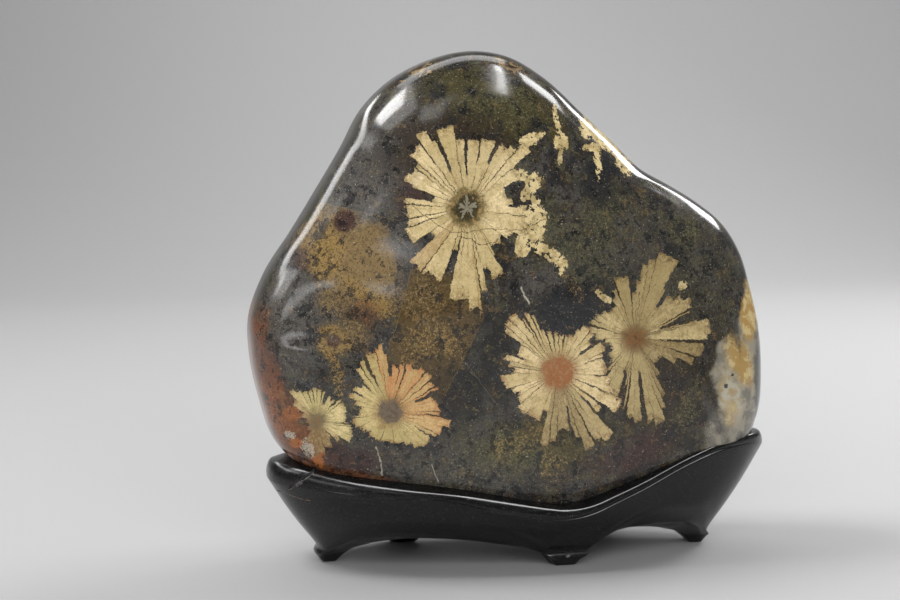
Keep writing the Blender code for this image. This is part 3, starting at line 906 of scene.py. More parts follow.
# The stone's colours, by name. A second name is what the first is mottled with.
STONE_COLOURS = {
    "charcoal": (0.022, 0.020, 0.017),
    "slate": (0.072, 0.066, 0.058),
    "grey": (0.125, 0.115, 0.105),
    "umber": (0.034, 0.023, 0.013),
    "gold": (0.235, 0.155, 0.062),
    "ochre": (0.300, 0.190, 0.060),
    "bronze": (0.105, 0.066, 0.022),
    "olive": (0.060, 0.052, 0.018),
    "moss": (0.100, 0.095, 0.048),
    "plum": (0.060, 0.030, 0.026),
    "rust": (0.210, 0.075, 0.028),
    "orange": (0.420, 0.140, 0.035),
    "cream": (0.560, 0.440, 0.210),
    "tawny": (0.290, 0.200, 0.095),
    "white": (0.520, 0.480, 0.380),
    "quartz": (0.330, 0.300, 0.235),
    "amber": (0.430, 0.270, 0.085),
    "ink": (0.018, 0.019, 0.021),
    "black": (0.006, 0.006, 0.005),
    "fleck": (0.30, 0.25, 0.155),
    "thread": (0.24, 0.19, 0.10),
    "quartz_cloud": (0.200, 0.185, 0.150),
    "white_stain": (0.440, 0.330, 0.160),
    "amber_light": (0.620, 0.480, 0.230),
    "cream_cloud": (0.50, 0.38, 0.170),
    "cream_stain": (0.24, 0.145, 0.045),
}

# Patches of the ground, laid in order: colour, across, up, half width, half height, lean in degrees, how
# broken and how soft the edge is, cover, and share of specks. Places and sizes are in millimetres over the
# face.
GROUND_PATCHES = (
    ("slate", -84, 130, 34, 40, 0, 1.6, 0.6, 0.90, 0.15),
    ("slate", -60, 190, 26, 26, 0, 1.6, 0.7, 0.80, 0.15),
    ("slate", -30, 56, 60, 22, 0, 1.6, 0.7, 0.70, 0.2),
    ("slate", 66, 130, 46, 46, 0, 1.8, 0.7, 0.50, 0.2),
    ("umber", -44, 182, 14, 12, 0, 1.4, 0.6, 0.9, 0.1),
    ("umber", -16, 200, 34, 14, 10, 1.4, 0.6, 0.9, 0.1),
    ("umber", 70, 84, 26, 30, 0, 1.6, 0.6, 0.8, 0.15),
    ("grey", -58, 148, 12, 12, 0, 1.4, 0.7, 0.60, 0.1),
    ("grey", -66, 168, 20, 11, 40, 1.2, 0.7, 0.55, 0.1),
    ("grey", -98, 122, 13, 24, 0, 1.4, 0.7, 0.55, 0.3),
    ("grey", 22, 136, 12, 8, 0, 1.5, 0.6, 0.40, 0.4),
    ("moss", 30, 150, 26, 20, 0, 1.8, 0.6, 0.55, 0.6),
    ("moss", 38, 168, 12, 9, 0, 1.7, 0.5, 0.45, 0.8),
    ("moss", 56, 164, 10, 8, 0, 1.7, 0.5, 0.45, 0.8),
    ("moss", 77, 155, 9, 8, 0, 1.7, 0.5, 0.60, 0.7),
    ("moss", 88, 128, 20, 28, 0, 1.7, 0.6, 0.40, 0.7),
    ("olive", -14, 214, 26, 10, -8, 1.5, 0.6, 0.85, 0.3),
    ("olive", 6, 202, 20, 8, -10, 1.6, 0.6, 0.8, 0.4),
    ("moss", -10, 212, 17, 6, 8, 1.9, 0.5, 0.50, 0.9),
    ("moss", 2, 206, 13, 6, 0, 1.9, 0.5, 0.45, 0.9),
    ("olive", 10, 60, 30, 12, 0, 1.5, 0.6, 0.85, 0.3),
    ("gold", 14, 62, 15, 8, -16, 1.9, 0.5, 0.42, 0.8),
    ("moss", 0, 57, 26, 10, -12, 1.8, 0.5, 0.60, 0.8),
    ("moss", -20, 50, 42, 12, 0, 1.7, 0.6, 0.50, 0.9),
    ("gold", 32, 50, 30, 9, 14, 1.9, 0.5, 0.34, 1.0),
    ("grey", -30, 46, 46, 10, -4, 1.7, 0.6, 0.40, 0.9),
    ("moss", 80, 74, 8, 16, -28, 1.6, 0.5, 0.50, 0.8),
    ("ochre", 2, 60, 13, 6, 12, 1.8, 0.4, 0.42, 0.8),
    ("ochre", 17, 50, 6, 11, 24, 1.8, 0.4, 0.42, 0.8),
    ("plum", 46, 50, 18, 8, 22, 1.6, 0.5, 0.55, 0.3),
    ("plum", 58, 54, 16, 8, 30, 1.5, 0.5, 0.60, 0.3),
    ("plum", -93, 143, 7, 6, 30, 1.2, 0.3, 0.7, 0.2),
    ("plum", -44, 170, 8, 9, 0, 1.4, 0.5, 0.7, 0.2),
    ("plum", -36, 84, 12, 10, 0, 1.6, 0.6, 0.40, 0.3),
    ("ink", 22, 119, 12, 12, 20, 0.9, 0.22, 0.95, 0.0),
    ("ink", 38, 124, 7, 9, 0, 1.3, 0.4, 0.7, 0.1),
    ("black", -24, 88, 16, 18, 10, 1.6, 0.6, 0.60, 0.2),
    ("black", -6, 110, 12, 12, 0, 1.6, 0.6, 0.60, 0.2),
    ("ink", 50, 186, 9, 8, 0, 1.2, 0.4, 0.8, 0.1),
    ("ink", 36, 176, 8, 9, 0, 1.2, 0.4, 0.8, 0.1),
    ("grey", 7, 131, 5, 6, 0, 1.4, 0.6, 0.5, 0.2),
    ("gold", 25, 130, 3, 10, 32, 1.8, 0.4, 0.45, 0.9),
)

# Weathered patches: the upper one ends along a healed crack, and the lower one lies between two of them.
UPPER_PATCHES = (
    ("gold", -76, 148, 21, 17, -30, 1.3, 0.35, 0.86, 0.35),
    ("gold", -66, 138, 15, 19, 20, 1.5, 0.35, 0.76, 0.5),
    ("gold", -74, 124, 14, 15, 0, 1.9, 0.4, 0.64, 0.7),
    ("ochre", -82, 144, 9, 11, 0, 1.8, 0.4, 0.66, 0.8),
    ("ochre", -64, 126, 14, 5, -35, 1.8, 0.4, 0.66, 0.8),
    ("umber", -70, 118, 10, 7, 0, 1.7, 0.5, 0.60, 0.5),
    ("rust", -68, 120, 9, 8, -20, 2.0, 0.4, 0.46, 0.9),
    ("ochre", -80, 108, 7.5, 9, 0, 1.6, 0.3, 0.72, 0.6),
    ("gold", -73, 112, 8, 7, 0, 1.8, 0.4, 0.60, 0.7),
    ("ochre", -78, 92, 3.5, 12, 10, 1.8, 0.4, 0.50, 0.9),
    ("plum", -80, 107, 3.6, 3.2, 0, 1.4, 0.3, 0.8, 0.1),
    ("plum", -75, 159, 5.4, 5.0, 0, 0.9, 0.2, 0.95, 0.0),
)
LOWER_PATCHES = (
    ("bronze", -38, 112, 22, 30, 12, 1.2, 0.3, 0.90, 0.20),
    ("ochre", -36, 104, 16, 12, 10, 1.8, 0.4, 0.52, 0.9),
    ("gold", -40, 124, 9, 12, 0, 1.8, 0.4, 0.50, 0.8),
    ("umber", -34, 92, 14, 10, 10, 1.7, 0.5, 0.55, 0.5),
)
# A place on each healed crack, and how far it moves across (mm) for each millimetre up.
UPPER_END = (-85.5, 166.8, 0.214)
LOWER_SIDES = ((-45.2, 141.0, 0.286), (-15.5, 113.5, 0.508))

# What wraps the stone's edges, front and back alike: the rust, and the quartz over it.
RUST_PATCHES = (
    ("rust", -120, 84, 17, 38, 8, 1.7, 0.35, 0.97, 0.25),
    ("rust", -103, 60, 20, 13, -28, 1.6, 0.35, 0.95, 0.2),
    ("rust", -80, 46, 30, 8, -14, 1.7, 0.4, 0.75, 0.4),
    ("orange", -110, 72, 9, 16, 20, 1.9, 0.5, 0.36, 0.7),
    ("plum", -112, 98, 8, 12, 10, 1.9, 0.5, 0.50, 0.5),
    ("plum", -76, 54, 22, 7, -10, 1.4, 0.5, 0.7, 0.3),
)
QUARTZ_PATCHES = (
    ("quartz", 113, 98, 10.5, 18, 6, 1.3, 0.16, 1.0, 0.0),
    ("quartz", 106, 76, 10.5, 24, 20, 1.3, 0.16, 1.0, 0.0),
    ("quartz", 97, 60, 9, 9, 35, 1.5, 0.3, 0.9, 0.3),
    ("amber", 112, 116, 6, 14, -8, 1.3, 0.20, 1.0, 0.1),
    ("amber", 106, 92, 6, 13, 16, 1.9, 0.35, 0.90, 0.2),
    ("white", 101, 76, 6, 12, 20, 1.7, 0.4, 0.75, 0.1),
    ("amber", 101, 68, 4, 6, 0, 1.9, 0.4, 0.55, 0.5),
    ("slate", 93, 66, 2.5, 14, 28, 1.9, 0.4, 0.7, 0.4),
    ("slate", 104, 104, 1.8, 12, 10, 1.9, 0.4, 0.6, 0.4),
    ("ink", 98, 81, 1.0, 1.2, 0, 0.6, 0.2, 0.9, 0.0),
    ("ink", 101.5, 86, 0.7, 0.8, 0, 0.6, 0.2, 0.9, 0.0),
    ("ink", 118, 74, 4, 26, 4, 1.2, 0.4, 0.8, 0.1),
)

# Broken pieces of crystal away from the petals, as the ground's patches are given.
FRAGMENTS = (
    ("cream", 7.2, 195, 5.6, 2.5, 25, 1.6, 0.05, 1, 0),
    ("cream", 2.0, 179, 3.4, 2.7, 0, 1.2, 0.05, 1, 0),
    ("cream", 8.0, 175.5, 3.4, 4.7, -20, 1.5, 0.05, 1, 0),
    ("cream", 4.5, 171, 2.1, 3.6, -30, 1.4, 0.05, 1, 0),
    ("cream", 9.0, 167, 1.7, 4.0, 15, 1.6, 0.05, 1, 0),
    ("cream", 10.5, 161, 3.4, 5.2, 20, 1.8, 0.05, 1, 0),
    ("cream", 3.0, 161, 5.6, 4.5, 0, 1.5, 0.05, 1, 0),
    ("cream", 8.8, 153.5, 4.3, 4.7, -40, 1.6, 0.05, 1, 0),
    ("cream", 3.4, 148.5, 3.6, 5.4, -12, 1.1, 0.05, 1, 0),
    ("cream", 12.0, 146.5, 5.8, 2.7, -22, 1.9, 0.05, 1, 0),
    ("cream", 18.0, 142.5, 6.3, 2.9, -38, 2.0, 0.05, 1, 0),
    ("cream", 20.5, 138.5, 1.6, 3.8, 0, 2.0, 0.05, 1, 0),
    ("cream", 19.0, 203, 1.3, 7.3, 8, 1.9, 0.08, 1, 0),
    ("cream", 20.5, 193.5, 3.6, 3.4, 0, 2.3, 0.08, 1, 0),
    ("cream", 20.5, 188.5, 1.1, 5.2, -8, 2.2, 0.10, 0.8, 0),
    ("cream", 33, 200.5, 3.4, 5.6, 0, 1.9, 0.06, 1, 0),
    ("cream", 41, 194.5, 11.8, 3.4, -38, 2.2, 0.06, 1, 0),
    ("cream", 37.5, 186.5, 1.7, 8.4, 0, 2.2, 0.06, 1, 0),
    ("cream", 50.5, 183.0, 5.0, 3.4, -50, 2.3, 0.06, 1, 0),
    ("cream", 34.5, 191.0, 4.0, 1.8, 0, 2.2, 0.08, 1, 0),
    ("cream", 77, 128.5, 2.7, 1.8, 0, 2.2, 0.1, 0.8, 0),
    ("cream", 39.5, 125, 4.9, 1.5, -42, 1.8, 0.1, 0.9, 0),
    ("tawny", -40.5, 226.5, 7.6, 3.2, 16, 2.0, 0.12, 0.9, 0.1),
    ("tawny", -51.5, 219.5, 2.8, 1.3, 25, 2.0, 0.15, 0.7, 0.2),
    ("tawny", -1.5, 227, 8.0, 2.2, -24, 2.8, 0.15, 0.8, 0.6),
    ("orange", -88, 55.5, 2.9, 6.7, 14, 2.2, 0.1, 0.9, 0.2),
    ("orange", -97.5, 60.5, 3.6, 2.2, 0, 2.2, 0.1, 0.8, 0.2),
    ("orange", -98.5, 74.5, 4.0, 3.4, 0, 2.2, 0.3, 0.6, 0.2),
    ("white", -91, 59, 3.8, 4.3, 0, 2.7, 0.1, 0.7, 0.6),
    ("white", -100.5, 64.0, 2.7, 2.0, 0, 2.2, 0.1, 0.7, 0.5),
    ("white", -84, 66.5, 4.5, 2.2, 0, 2.5, 0.1, 0.7, 0.5),
)

# Thin lines over the face: colour, half width, strength, then the places that each passes.
VEINS = (
    ("bronze", 0.26, 0.85, (
        (-54, 174), (-45.7, 166.3), (-36.5, 158.8), (-29, 154.6), (-21.5, 154.2), (-15, 155.8), (2.7, 155),
        (12.8, 159.7), (24.6, 159.3))),
    ("umber", 0.24, 0.85, ((-25.9, 152.3), (-20.2, 151.4), (-15.8, 148.7), (-9.2, 150), (-7.9, 151.4))),
    ("grey", 0.16, 0.6, ((-63.5, 186), (-54, 174))),
    ("gold", 0.18, 0.7, ((-85.5, 166.8), (-50, 159.2))),
    ("grey", 0.16, 0.6, ((-77.5, 152), (-56.5, 132.5), (-53, 129), (-28.8, 104.3))),
    ("grey", 0.20, 0.75, ((-22.3, 97.4), (-8, 77.5))),
    ("gold", 0.18, 0.65, ((-45.2, 141), (-50, 122), (-56.5, 101.5))),
    ("gold", 0.16, 0.5, ((-15.5, 113.5), (-30.5, 84))),
    ("grey", 0.18, 0.8, ((-25.5, 210.5), (-19, 216), (-14, 222.5))),
    ("white", 0.55, 0.85, ((2.4, 129.6), (4.3, 125.5), (6.2, 122.6))),
    ("white", 0.40, 0.75, ((-61.5, 60), (-59.5, 53), (-59.2, 46))),
    ("white", 0.30, 0.6, ((-37, 51.5), (-34.2, 43))),
    ("grey", 0.16, 0.6, ((78, 120), (90, 118))),
    ("moss", 0.30, 0.6, ((85.5, 90), (80, 76), (72, 66))),
)


# Where the markings of the face fade out on the way back, how far that edge wanders, and how soft the healed
# cracks are that bound some patches.
FRONT_EDGE = (-14 * MM, -8 * MM)
FRONT_WANDER = 16 * MM
HEALED_EDGE = (-0.2 * MM, 0.6 * MM)
# A fixed shift, in metres, that chooses the noise's pattern.
NOISE_SHIFT = (0.013, 0.007, 0.021)
THREAD_EDGE = (0.0012, 0.0045)
CRACKLE_SCALE = 230.0
# Roughness below and above the polish, and the depth of the pits.
POLISH_BELOW, POLISH_ABOVE = 0.03, 0.07
PIT_STRENGTH, PIT_DEPTH = 0.3, 0.12 * MM


def make_stone_material():
    """The stone's finish. Each node is made just before its use, or the render's shader stack overflows."""
    settings = stone_settings()
    colours = dict(
        STONE_COLOURS, charcoal=settings.charcoal, gold=settings.golden, cream=settings.petal)
    groups = marking_groups()
    material, n, shader = new_material("polished_stone")

    def paint(name):
        return opaque(colours[name])

    here = n.add("ShaderNodeTexCoord").outputs["Object"]
    turned = n.make("ShaderNodeMapping", {"Rotation": (0, 0, FACE_TURN), "Vector": here}, vector_type="POINT")
    face_x, _, face_z = n.split(turned.outputs[0])
    depth = n.split(here)[1]
    behind = n.math("GREATER_THAN", depth, 0.0)

    # Noise shared by all the markings, from broad clouds down to grain. The place on the face wanders by it.
    here = n.vector("ADD", here, NOISE_SHIFT)
    broad = n.noise(here, 75, 4, 0.55)
    cloud = n.noise(here, 130, 5, 0.66, 0.4)
    mottle = n.noise(here, 210, 4, 0.62, 0.2)
    front = n.step(
        n.plus(depth, n.line(cloud, 0.3, 0.7, -FRONT_WANDER, FRONT_WANDER)), *FRONT_EDGE, 1.0, 0.0)
    fine = n.noise(here, 640, 4, 0.65)
    grain = n.noise(here, 1500, 3, 0.7)
    specked = n.plus(n.times(fine, 0.45), n.times(grain, 0.55))

    def wander(place, noise, reach):
        return n.plus(place, n.line(noise, 0.0, 1.0, -reach, reach))

    face_x = wander(wander(face_x, cloud, 1.4 * MM), fine, 0.9 * MM)
    face_z = wander(wander(face_z, mottle, 1.4 * MM), grain, 0.7 * MM)

    def lay(base, patches, mask, noise, speck, mottled=None):
        """Lays patches over a colour, one after another. Mottled colours stand in for the plain ones."""
        for name, *place in patches:
            patch = patch_mask(n, groups, face_x, face_z, noise, speck, *place)
            top = mottled[name] if mottled and name in mottled else paint(name)
            base = n.mix(n.times(patch, mask) if mask else patch, base, top)
        return base

    # The ground: charcoal clouded with slate and umber, with specks of moss and black all over.
    rough_cloud = n.plus(cloud, n.times(n.minus(specked, 0.5), 0.22))
    rough_mottle = n.plus(mottle, n.times(n.minus(specked, 0.5), 0.22))
    ground = n.mix(n.step(broad, 0.42, 0.60), paint("charcoal"), paint("slate"))
    ground = n.mix(n.step(rough_mottle, 0.52, 0.56, 0.0, 0.75), ground, paint("umber"))
    ground = n.mix(n.step(rough_cloud, 0.54, 0.58, 0.0, 0.50), ground, paint("moss"))
    ground = lay(ground, GROUND_PATCHES, front, broad, specked)

    def beside(x, z, lean):
        """How far the face lies to the right of a healed crack."""
        start = (x - z * lean) * MM
        return n.minus(face_x, n.line(face_z, 0.0, 1.0, start, start + lean))

    x, z, fall = UPPER_END
    start = (z + x * fall) * MM
    below = n.line(face_x, 0.0, 1.0, start, start - fall)
    upper = n.step(n.minus(below, face_z), *HEALED_EDGE)
    ground = lay(ground, UPPER_PATCHES, n.times(front, upper), broad, specked)
    left_side, right_side = LOWER_SIDES
    inside = n.times(
        n.step(beside(*left_side), *HEALED_EDGE), n.step(beside(*right_side), *HEALED_EDGE, 1.0, 0.0))
    ground = lay(ground, LOWER_PATCHES, n.times(front, inside), broad, specked)
    ground = lay(ground, RUST_PATCHES, None, broad, specked)
    ground = n.mix(n.step(rough_cloud, 0.40, 0.45, 0.72, 0.0), ground, paint("ink"))
    ground = n.mix(n.step(rough_mottle, 0.38, 0.42, 0.65, 0.0), ground, paint("black"))
    ground = n.mix(n.step(rough_mottle, 0.60, 0.66, 0.0, 0.30), ground, paint("gold"))
    ground = n.mix(n.step(specked, 0.57, 0.63, 0.0, 0.08), ground, paint("fleck"))
    ground = n.mix(n.step(specked, 0.40, 0.52, 0.45, 0.0), ground, paint("black"))
    thread = n.math("ABSOLUTE", n.minus(n.noise(here, 62, 4, 0.62, 0.6), 0.5))
    thread = n.times(n.step(thread, *THREAD_EDGE, 0.5, 0.0), n.step(cloud, 0.50, 0.56))
    ground = n.mix(thread, ground, paint("thread"))
    crystal = {
        "quartz": n.mix(n.step(cloud, 0.44, 0.58), paint("quartz"), paint("quartz_cloud")),
        "white": n.mix(n.step(rough_mottle, 0.46, 0.58), paint("white"), paint("white_stain")),
        "amber": n.mix(n.step(rough_mottle, 0.46, 0.58), paint("amber"), paint("amber_light")),
    }
    ground = lay(ground, QUARTZ_PATCHES, None, broad, specked, crystal)
    holes = n.times(front, n.step(n.noise(here, 430, 3, 0.6), 0.385, 0.41))
    loose = n.mix(n.step(mottle, 0.42, 0.60), paint("cream"), paint("cream_cloud"))
    loose = n.mix(n.step(fine, 0.54, 0.62, 0.0, 0.6), loose, paint("cream_stain"))
    duller = n.mix(n.step(mottle, 0.46, 0.56), paint("tawny"), paint("umber"))
    ground = lay(ground, FRAGMENTS, holes, fine, grain, {"cream": loose, "tawny": duller})

    # The flowers, the ones beneath first, with fine brown cracks over them all.
    cells = n.make(
        "ShaderNodeTexVoronoi", {"Vector": here, "Scale": CRACKLE_SCALE}, feature="DISTANCE_TO_EDGE")
    crackle = n.step(cells.outputs["Distance"], 0.012, 0.045, 0.40, 0.0)
    crackle = n.times(crackle, n.step(cloud, 0.50, 0.56))
    colour = ground
    for flower in FLOWERS:
        colour = lay_flower(n, groups, colour, flower, face_x, face_z, behind, mottle, fine, grain, crackle)

    for name, half_width, strength, places in VEINS:
        for start, end in zip(places, places[1:]):
            line = vein_mask(n, groups, face_x, face_z, start, end, half_width)
            line = n.times(n.times(line, front), n.step(fine, 0.32, 0.5, 0.3 * strength, strength))
            colour = n.mix(line, colour, paint(name))

    n.put(shader.inputs["Base Color"], colour)
    dull = n.step(grain, 0.35, 0.75, settings.polish - POLISH_BELOW, settings.polish + POLISH_ABOVE)
    n.put(shader.inputs["Roughness"], n.plus(dull, n.times(n.step(broad, 0.5, 0.7), 0.05)))
    bump = n.make("ShaderNodeBump", {"Strength": PIT_STRENGTH, "Distance": PIT_DEPTH})
    pits = n.step(n.noise(here, 1100, 2, 0.5), 0.70, 0.78, 1.0, 0.0)
    n.put(bump.inputs["Height"], n.plus(pits, n.times(fine, 0.12)))
    n.put(shader.inputs["Normal"], bump.outputs[0])
    return material


# ------------------------------ the stand's finish
# Marks in the lacquer, as the ground's patches are given: the scuffs below the crack, and a chip on the toe.
SCUFFS = (
    (-104.6, 41.4, 2.4, 0.8, 44, 2.4, 0.4, 0.6, 0.95),
    (-101.2, 44.4, 2.2, 0.28, 38, 1.0, 0.5, 0.6, 0.6),
    (-107.6, 38.6, 1.1, 0.6, 60, 2.2, 0.4, 0.6, 0.9),
    (-111.4, 35.6, 0.9, 0.7, 0, 1.2, 0.3, 0.9, 0.3),
    (17.3, 5.0, 0.9, 0.55, 10, 1.4, 0.3, 1.0, 0.2),
)
SCRATCH = ((-110.6, 36.6), (-108.4, 35.3), (-106.0, 34.5), (-103.4, 33.9), (-99.5, 33.6))
SCRATCH_HALF_WIDTH = 0.34
# Half width of the painted shade along the crack, in millimetres.
CRACK_SHADE_HALF_WIDTH = 0.55
LACQUER_COLOURS = {
    "wood": (0.0048, 0.0042, 0.0040),
    "dust": (0.075, 0.070, 0.062),
    "scuff": (0.130, 0.122, 0.112),
    "scratch": (0.150, 0.095, 0.062),
    # The crack's colour is painted shade: the dark of its narrow gap.
    "crack": (0.0004, 0.0004, 0.0004),
}
# The marks show on the front alone. The wood's pores are drawn out along the stand.
LACQUER_FRONT = (-4 * MM, -1 * MM)
WOOD_STRETCH = (0.12, 1.0, 1.0)
LACQUER_IOR = 1.42
PORE_STRENGTH, PORE_DEPTH = 0.10, 0.2 * MM


def make_lacquer_material(groups):
    paints = all_opaque(LACQUER_COLOURS)
    material, n, shader = new_material("black_lacquer")
    here = n.add("ShaderNodeTexCoord").outputs["Object"]
    across, depth, height = n.split(here)
    front = n.step(depth, *LACQUER_FRONT, 1.0, 0.0)
    stretched = n.vector("MULTIPLY", here, WOOD_STRETCH)
    wood = n.noise(stretched, 420, 4, 0.6, 0.4)
    fine = n.noise(here, 900, 3, 0.6)
    dust = n.noise(here, 2600, 2, 0.7)
    cloud = n.noise(here, 55, 3, 0.5)
    colour = n.mix(n.step(wood, 0.4, 0.7), opaque(stand_settings().lacquer), paints["wood"])
    worn = n.times(n.step(dust, 0.66, 0.72), n.step(cloud, 0.46, 0.60, 0.0, 0.8))
    colour = n.mix(worn, colour, paints["dust"])
    for place in SCUFFS:
        scuff = n.times(patch_mask(n, groups, across, height, fine, dust, *place), front)
        colour = n.mix(scuff, colour, paints["scuff"])
        worn = n.math("MAXIMUM", worn, scuff)
    for start, end in zip(SCRATCH, SCRATCH[1:]):
        line = n.times(vein_mask(n, groups, across, height, start, end, SCRATCH_HALF_WIDTH), front)
        line = n.times(line, n.step(fine, 0.40, 0.55, 0.15, 0.9))
        colour = n.mix(line, colour, paints["scratch"])
    # The crack is painted near black along its path, painted shade for its narrow gap; the same line also
    # dulls the lacquer there.
    flat_path = [(x, z) for x, _, z in CRACK_PATH]
    for start, end in zip(flat_path, flat_path[1:]):
        line = n.times(vein_mask(n, groups, across, height, start, end, CRACK_SHADE_HALF_WIDTH), front)
        colour = n.mix(line, colour, paints["crack"])
        worn = n.math("MAXIMUM", worn, line)
    n.put(shader.inputs["Base Color"], colour)
    gloss = n.step(n.plus(wood, n.times(dust, 0.3)), 0.45, 0.85, 0.17, 0.27)
    n.put(shader.inputs["Roughness"], n.plus(gloss, n.times(worn, 0.6)))
    n.put(shader.inputs["IOR"], LACQUER_IOR)
    bump = n.make("ShaderNodeBump", {"Strength": PORE_STRENGTH, "Distance": PORE_DEPTH, "Height": wood})
    n.put(shader.inputs["Normal"], bump.outputs[0])
    return material


# The crack: into how many points its path is cut, how far and how finely it wavers, how it narrows outwards,
# and how many sides it has.
CRACK_POINTS = 60
CRACK_WAVER = 1.6 * MM
CRACK_WAVER_SCALE = 700.0
CRACK_TAPER = 1.12
CRACK_SIDES = 6
# The chips beside it: their radius, and the least and greatest stretch along their own axes.
CHIP_RADIUS = 0.6 * MM
CHIP_LEAST, CHIP_MOST = (0.6, 0.5, 0.3), (2.2, 1.4, 0.9)
CHIP_SEED = 4
SHARP_ANGLE = math.radians(38)
CARVING_INPUTS = (
    ("Block", "Geometry"), ("Stone", "Object"), ("Crack", "Object"), ("Seat Gap", "Float"),
    ("Crack Width", "Float"), ("Chips", "Int"), ("Seed", "Int"), ("Finish", "Material"),
)


def make_carving_tree():
    """Geometry nodes that finish the stand: the stone's seat, and the crack and chips along a path."""
    tree = bpy.data.node_groups.new("stand_carving", "GeometryNodeTree")
    for label, kind in CARVING_INPUTS:
        socket = tree.interface.new_socket(label, in_out="INPUT", socket_type="NodeSocket" + kind)
        if kind == "Float":
            socket.subtype = "DISTANCE"
    tree.interface.new_socket("Stand", in_out="OUTPUT", socket_type="NodeSocketGeometry")
    n = Nodes(tree)
    given = n.add("NodeGroupInput").outputs
    out = n.add("NodeGroupOutput").inputs

    def object_given(name):
        info = n.make("GeometryNodeObjectInfo", {"Object": given[name]}, transform_space="RELATIVE")
        return info.outputs["Geometry"]

    def moved(geometry, offset):
        return n.make("GeometryNodeSetPosition", {"Geometry": geometry, "Offset": offset}).outputs["Geometry"]

    def random_vector(ends):
        return n.make(
            "FunctionNodeRandomValue", {**ends, "Seed": given["Seed"]}, data_type="FLOAT_VECTOR").outputs[0]

    smooth = n.make("GeometryNodeSubdivisionSurface", {"Mesh": given["Block"], "Level": 2})
    outwards = n.vector("SCALE", n.add("GeometryNodeInputNormal").outputs[0], scale=given["Seat Gap"])
    swollen = moved(object_given("Stone"), outwards)

    curve = n.make("GeometryNodeMeshToCurve", {"Mesh": object_given("Crack")}).outputs["Curve"]
    fine = n.make("GeometryNodeResampleCurve", {"Curve": curve, "Count": CRACK_POINTS}, mode="COUNT")
    shiver = n.make("ShaderNodeTexNoise", {"Scale": CRACK_WAVER_SCALE, "Detail": 3.0})
    centred = n.vector("SUBTRACT", shiver.outputs["Color"], (0.5, 0.5, 0.5))
    torn = moved(fine.outputs["Curve"], n.vector("SCALE", centred, scale=CRACK_WAVER))
    along = n.add("GeometryNodeSplineParameter").outputs["Factor"]
    taper = n.times(n.minus(CRACK_TAPER, along), given["Crack Width"])
    profile = n.make(
        "GeometryNodeCurvePrimitiveCircle", {"Resolution": CRACK_SIDES, "Radius": 1.0}, mode="RADIUS")
    split = n.make("GeometryNodeCurveToMesh", {
        "Curve": torn, "Profile Curve": profile.outputs["Curve"], "Scale": taper, "Fill Caps": True})

    spots = n.make("GeometryNodeCurveToPoints", {"Curve": torn, "Count": given["Chips"]}, mode="COUNT")
    chip = n.make("GeometryNodeMeshIcoSphere", {"Radius": CHIP_RADIUS, "Subdivisions": 1})
    placed = n.make("GeometryNodeInstanceOnPoints", {
        "Points": spots.outputs["Points"], "Instance": chip.outputs["Mesh"],
        "Rotation": random_vector({1: (TAU, TAU, TAU)}),
        "Scale": random_vector({0: CHIP_LEAST, 1: CHIP_MOST}),
    })
    chips = n.make("GeometryNodeRealizeInstances", {"Geometry": placed.outputs["Instances"]})

    carve = n.make(
        "GeometryNodeMeshBoolean", {"Mesh 1": smooth.outputs["Mesh"]}, operation="DIFFERENCE",
        solver="MANIFOLD")
    for cutter in (swollen, split.outputs["Mesh"], chips.outputs["Geometry"]):
        tree.links.new(cutter, carve.inputs["Mesh 2"])
    shaded = n.make("GeometryNodeSetShadeSmooth", {"Geometry": carve.outputs["Mesh"]})
    whole = n.make("GeometryNodeRealizeInstances", {"Geometry": shaded.outputs["Geometry"]})
    finish = n.make(
        "GeometryNodeSetMaterial", {"Geometry": whole.outputs["Geometry"], "Material": given["Finish"]})
    n.put(out["Stand"], finish.outputs["Geometry"])
    return tree


def run_nodes(piece, tree, values):
    """Runs a geometry tree on a piece and leaves its result as a plain mesh."""
    modifier = piece.modifiers.new(tree.name, "NODES")
    modifier.node_group = tree
    for item in tree.interface.items_tree:
        if item.in_out == "INPUT" and item.name in values:
            modifier[item.identifier] = values[item.name]
    ready = piece.evaluated_get(bpy.context.evaluated_depsgraph_get())
    mesh = bpy.data.meshes.new_from_object(ready)
    piece.modifiers.remove(modifier)
    return mesh


# ------------------------------ operators
class BuildStone(bpy.types.Operator):
    """Build the polished stone"""

    bl_idname = "chrysanthemum.stone"
    bl_label = "Stone"

    def execute(self, context):
        material = make_stone_material()
        stone = new_piece("polished_stone", stone_mesh(stone_settings().grid), material)
        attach(stone, "root")
        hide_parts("stone")
        return {"FINISHED"}


class BuildStand(bpy.types.Operator):
    """Build the carved stand round the stone"""

    bl_idname = "chrysanthemum.stand"
    bl_label = "Stand"

    def execute(self, context):
        settings = stand_settings()
        material = make_lacquer_material(marking_groups())
        block = new_piece("stand_block", stand_block(settings.groove_depth), material)
        path = bpy.data.meshes.new("crack_path")
        points = [Vector(p) * MM for p in CRACK_PATH]
        path.from_pydata(points, [(k, k + 1) for k in range(len(points) - 1)], [])
        crack = bpy.data.objects.new("crack_path", path)
        context.scene.collection.objects.link(crack)
        context.view_layer.update()
        carved = run_nodes(block, make_carving_tree(), {
            "Stone": bpy.data.objects["polished_stone"],
            "Crack": crack,
            "Seat Gap": settings.seat_gap,
            "Crack Width": settings.crack_width,
            "Chips": settings.chips,
            "Seed": CHIP_SEED,
            "Finish": material,
        })
        bpy.data.objects.remove(crack, do_unlink=True)
        bpy.data.objects.remove(block, do_unlink=True)
        carved.name = "carved_stand"
        carved.set_sharp_from_angle(angle=SHARP_ANGLE)
        stand = new_piece("carved_stand", carved, material)
        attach(stand, "root")
        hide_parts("stand")
        return {"FINISHED"}


# What the lights face, in metres.
STONE_MIDDLE = Vector((0, 0, 0.12))
BACKDROP_FOOT = Vector((0.4, 1.35, 0))
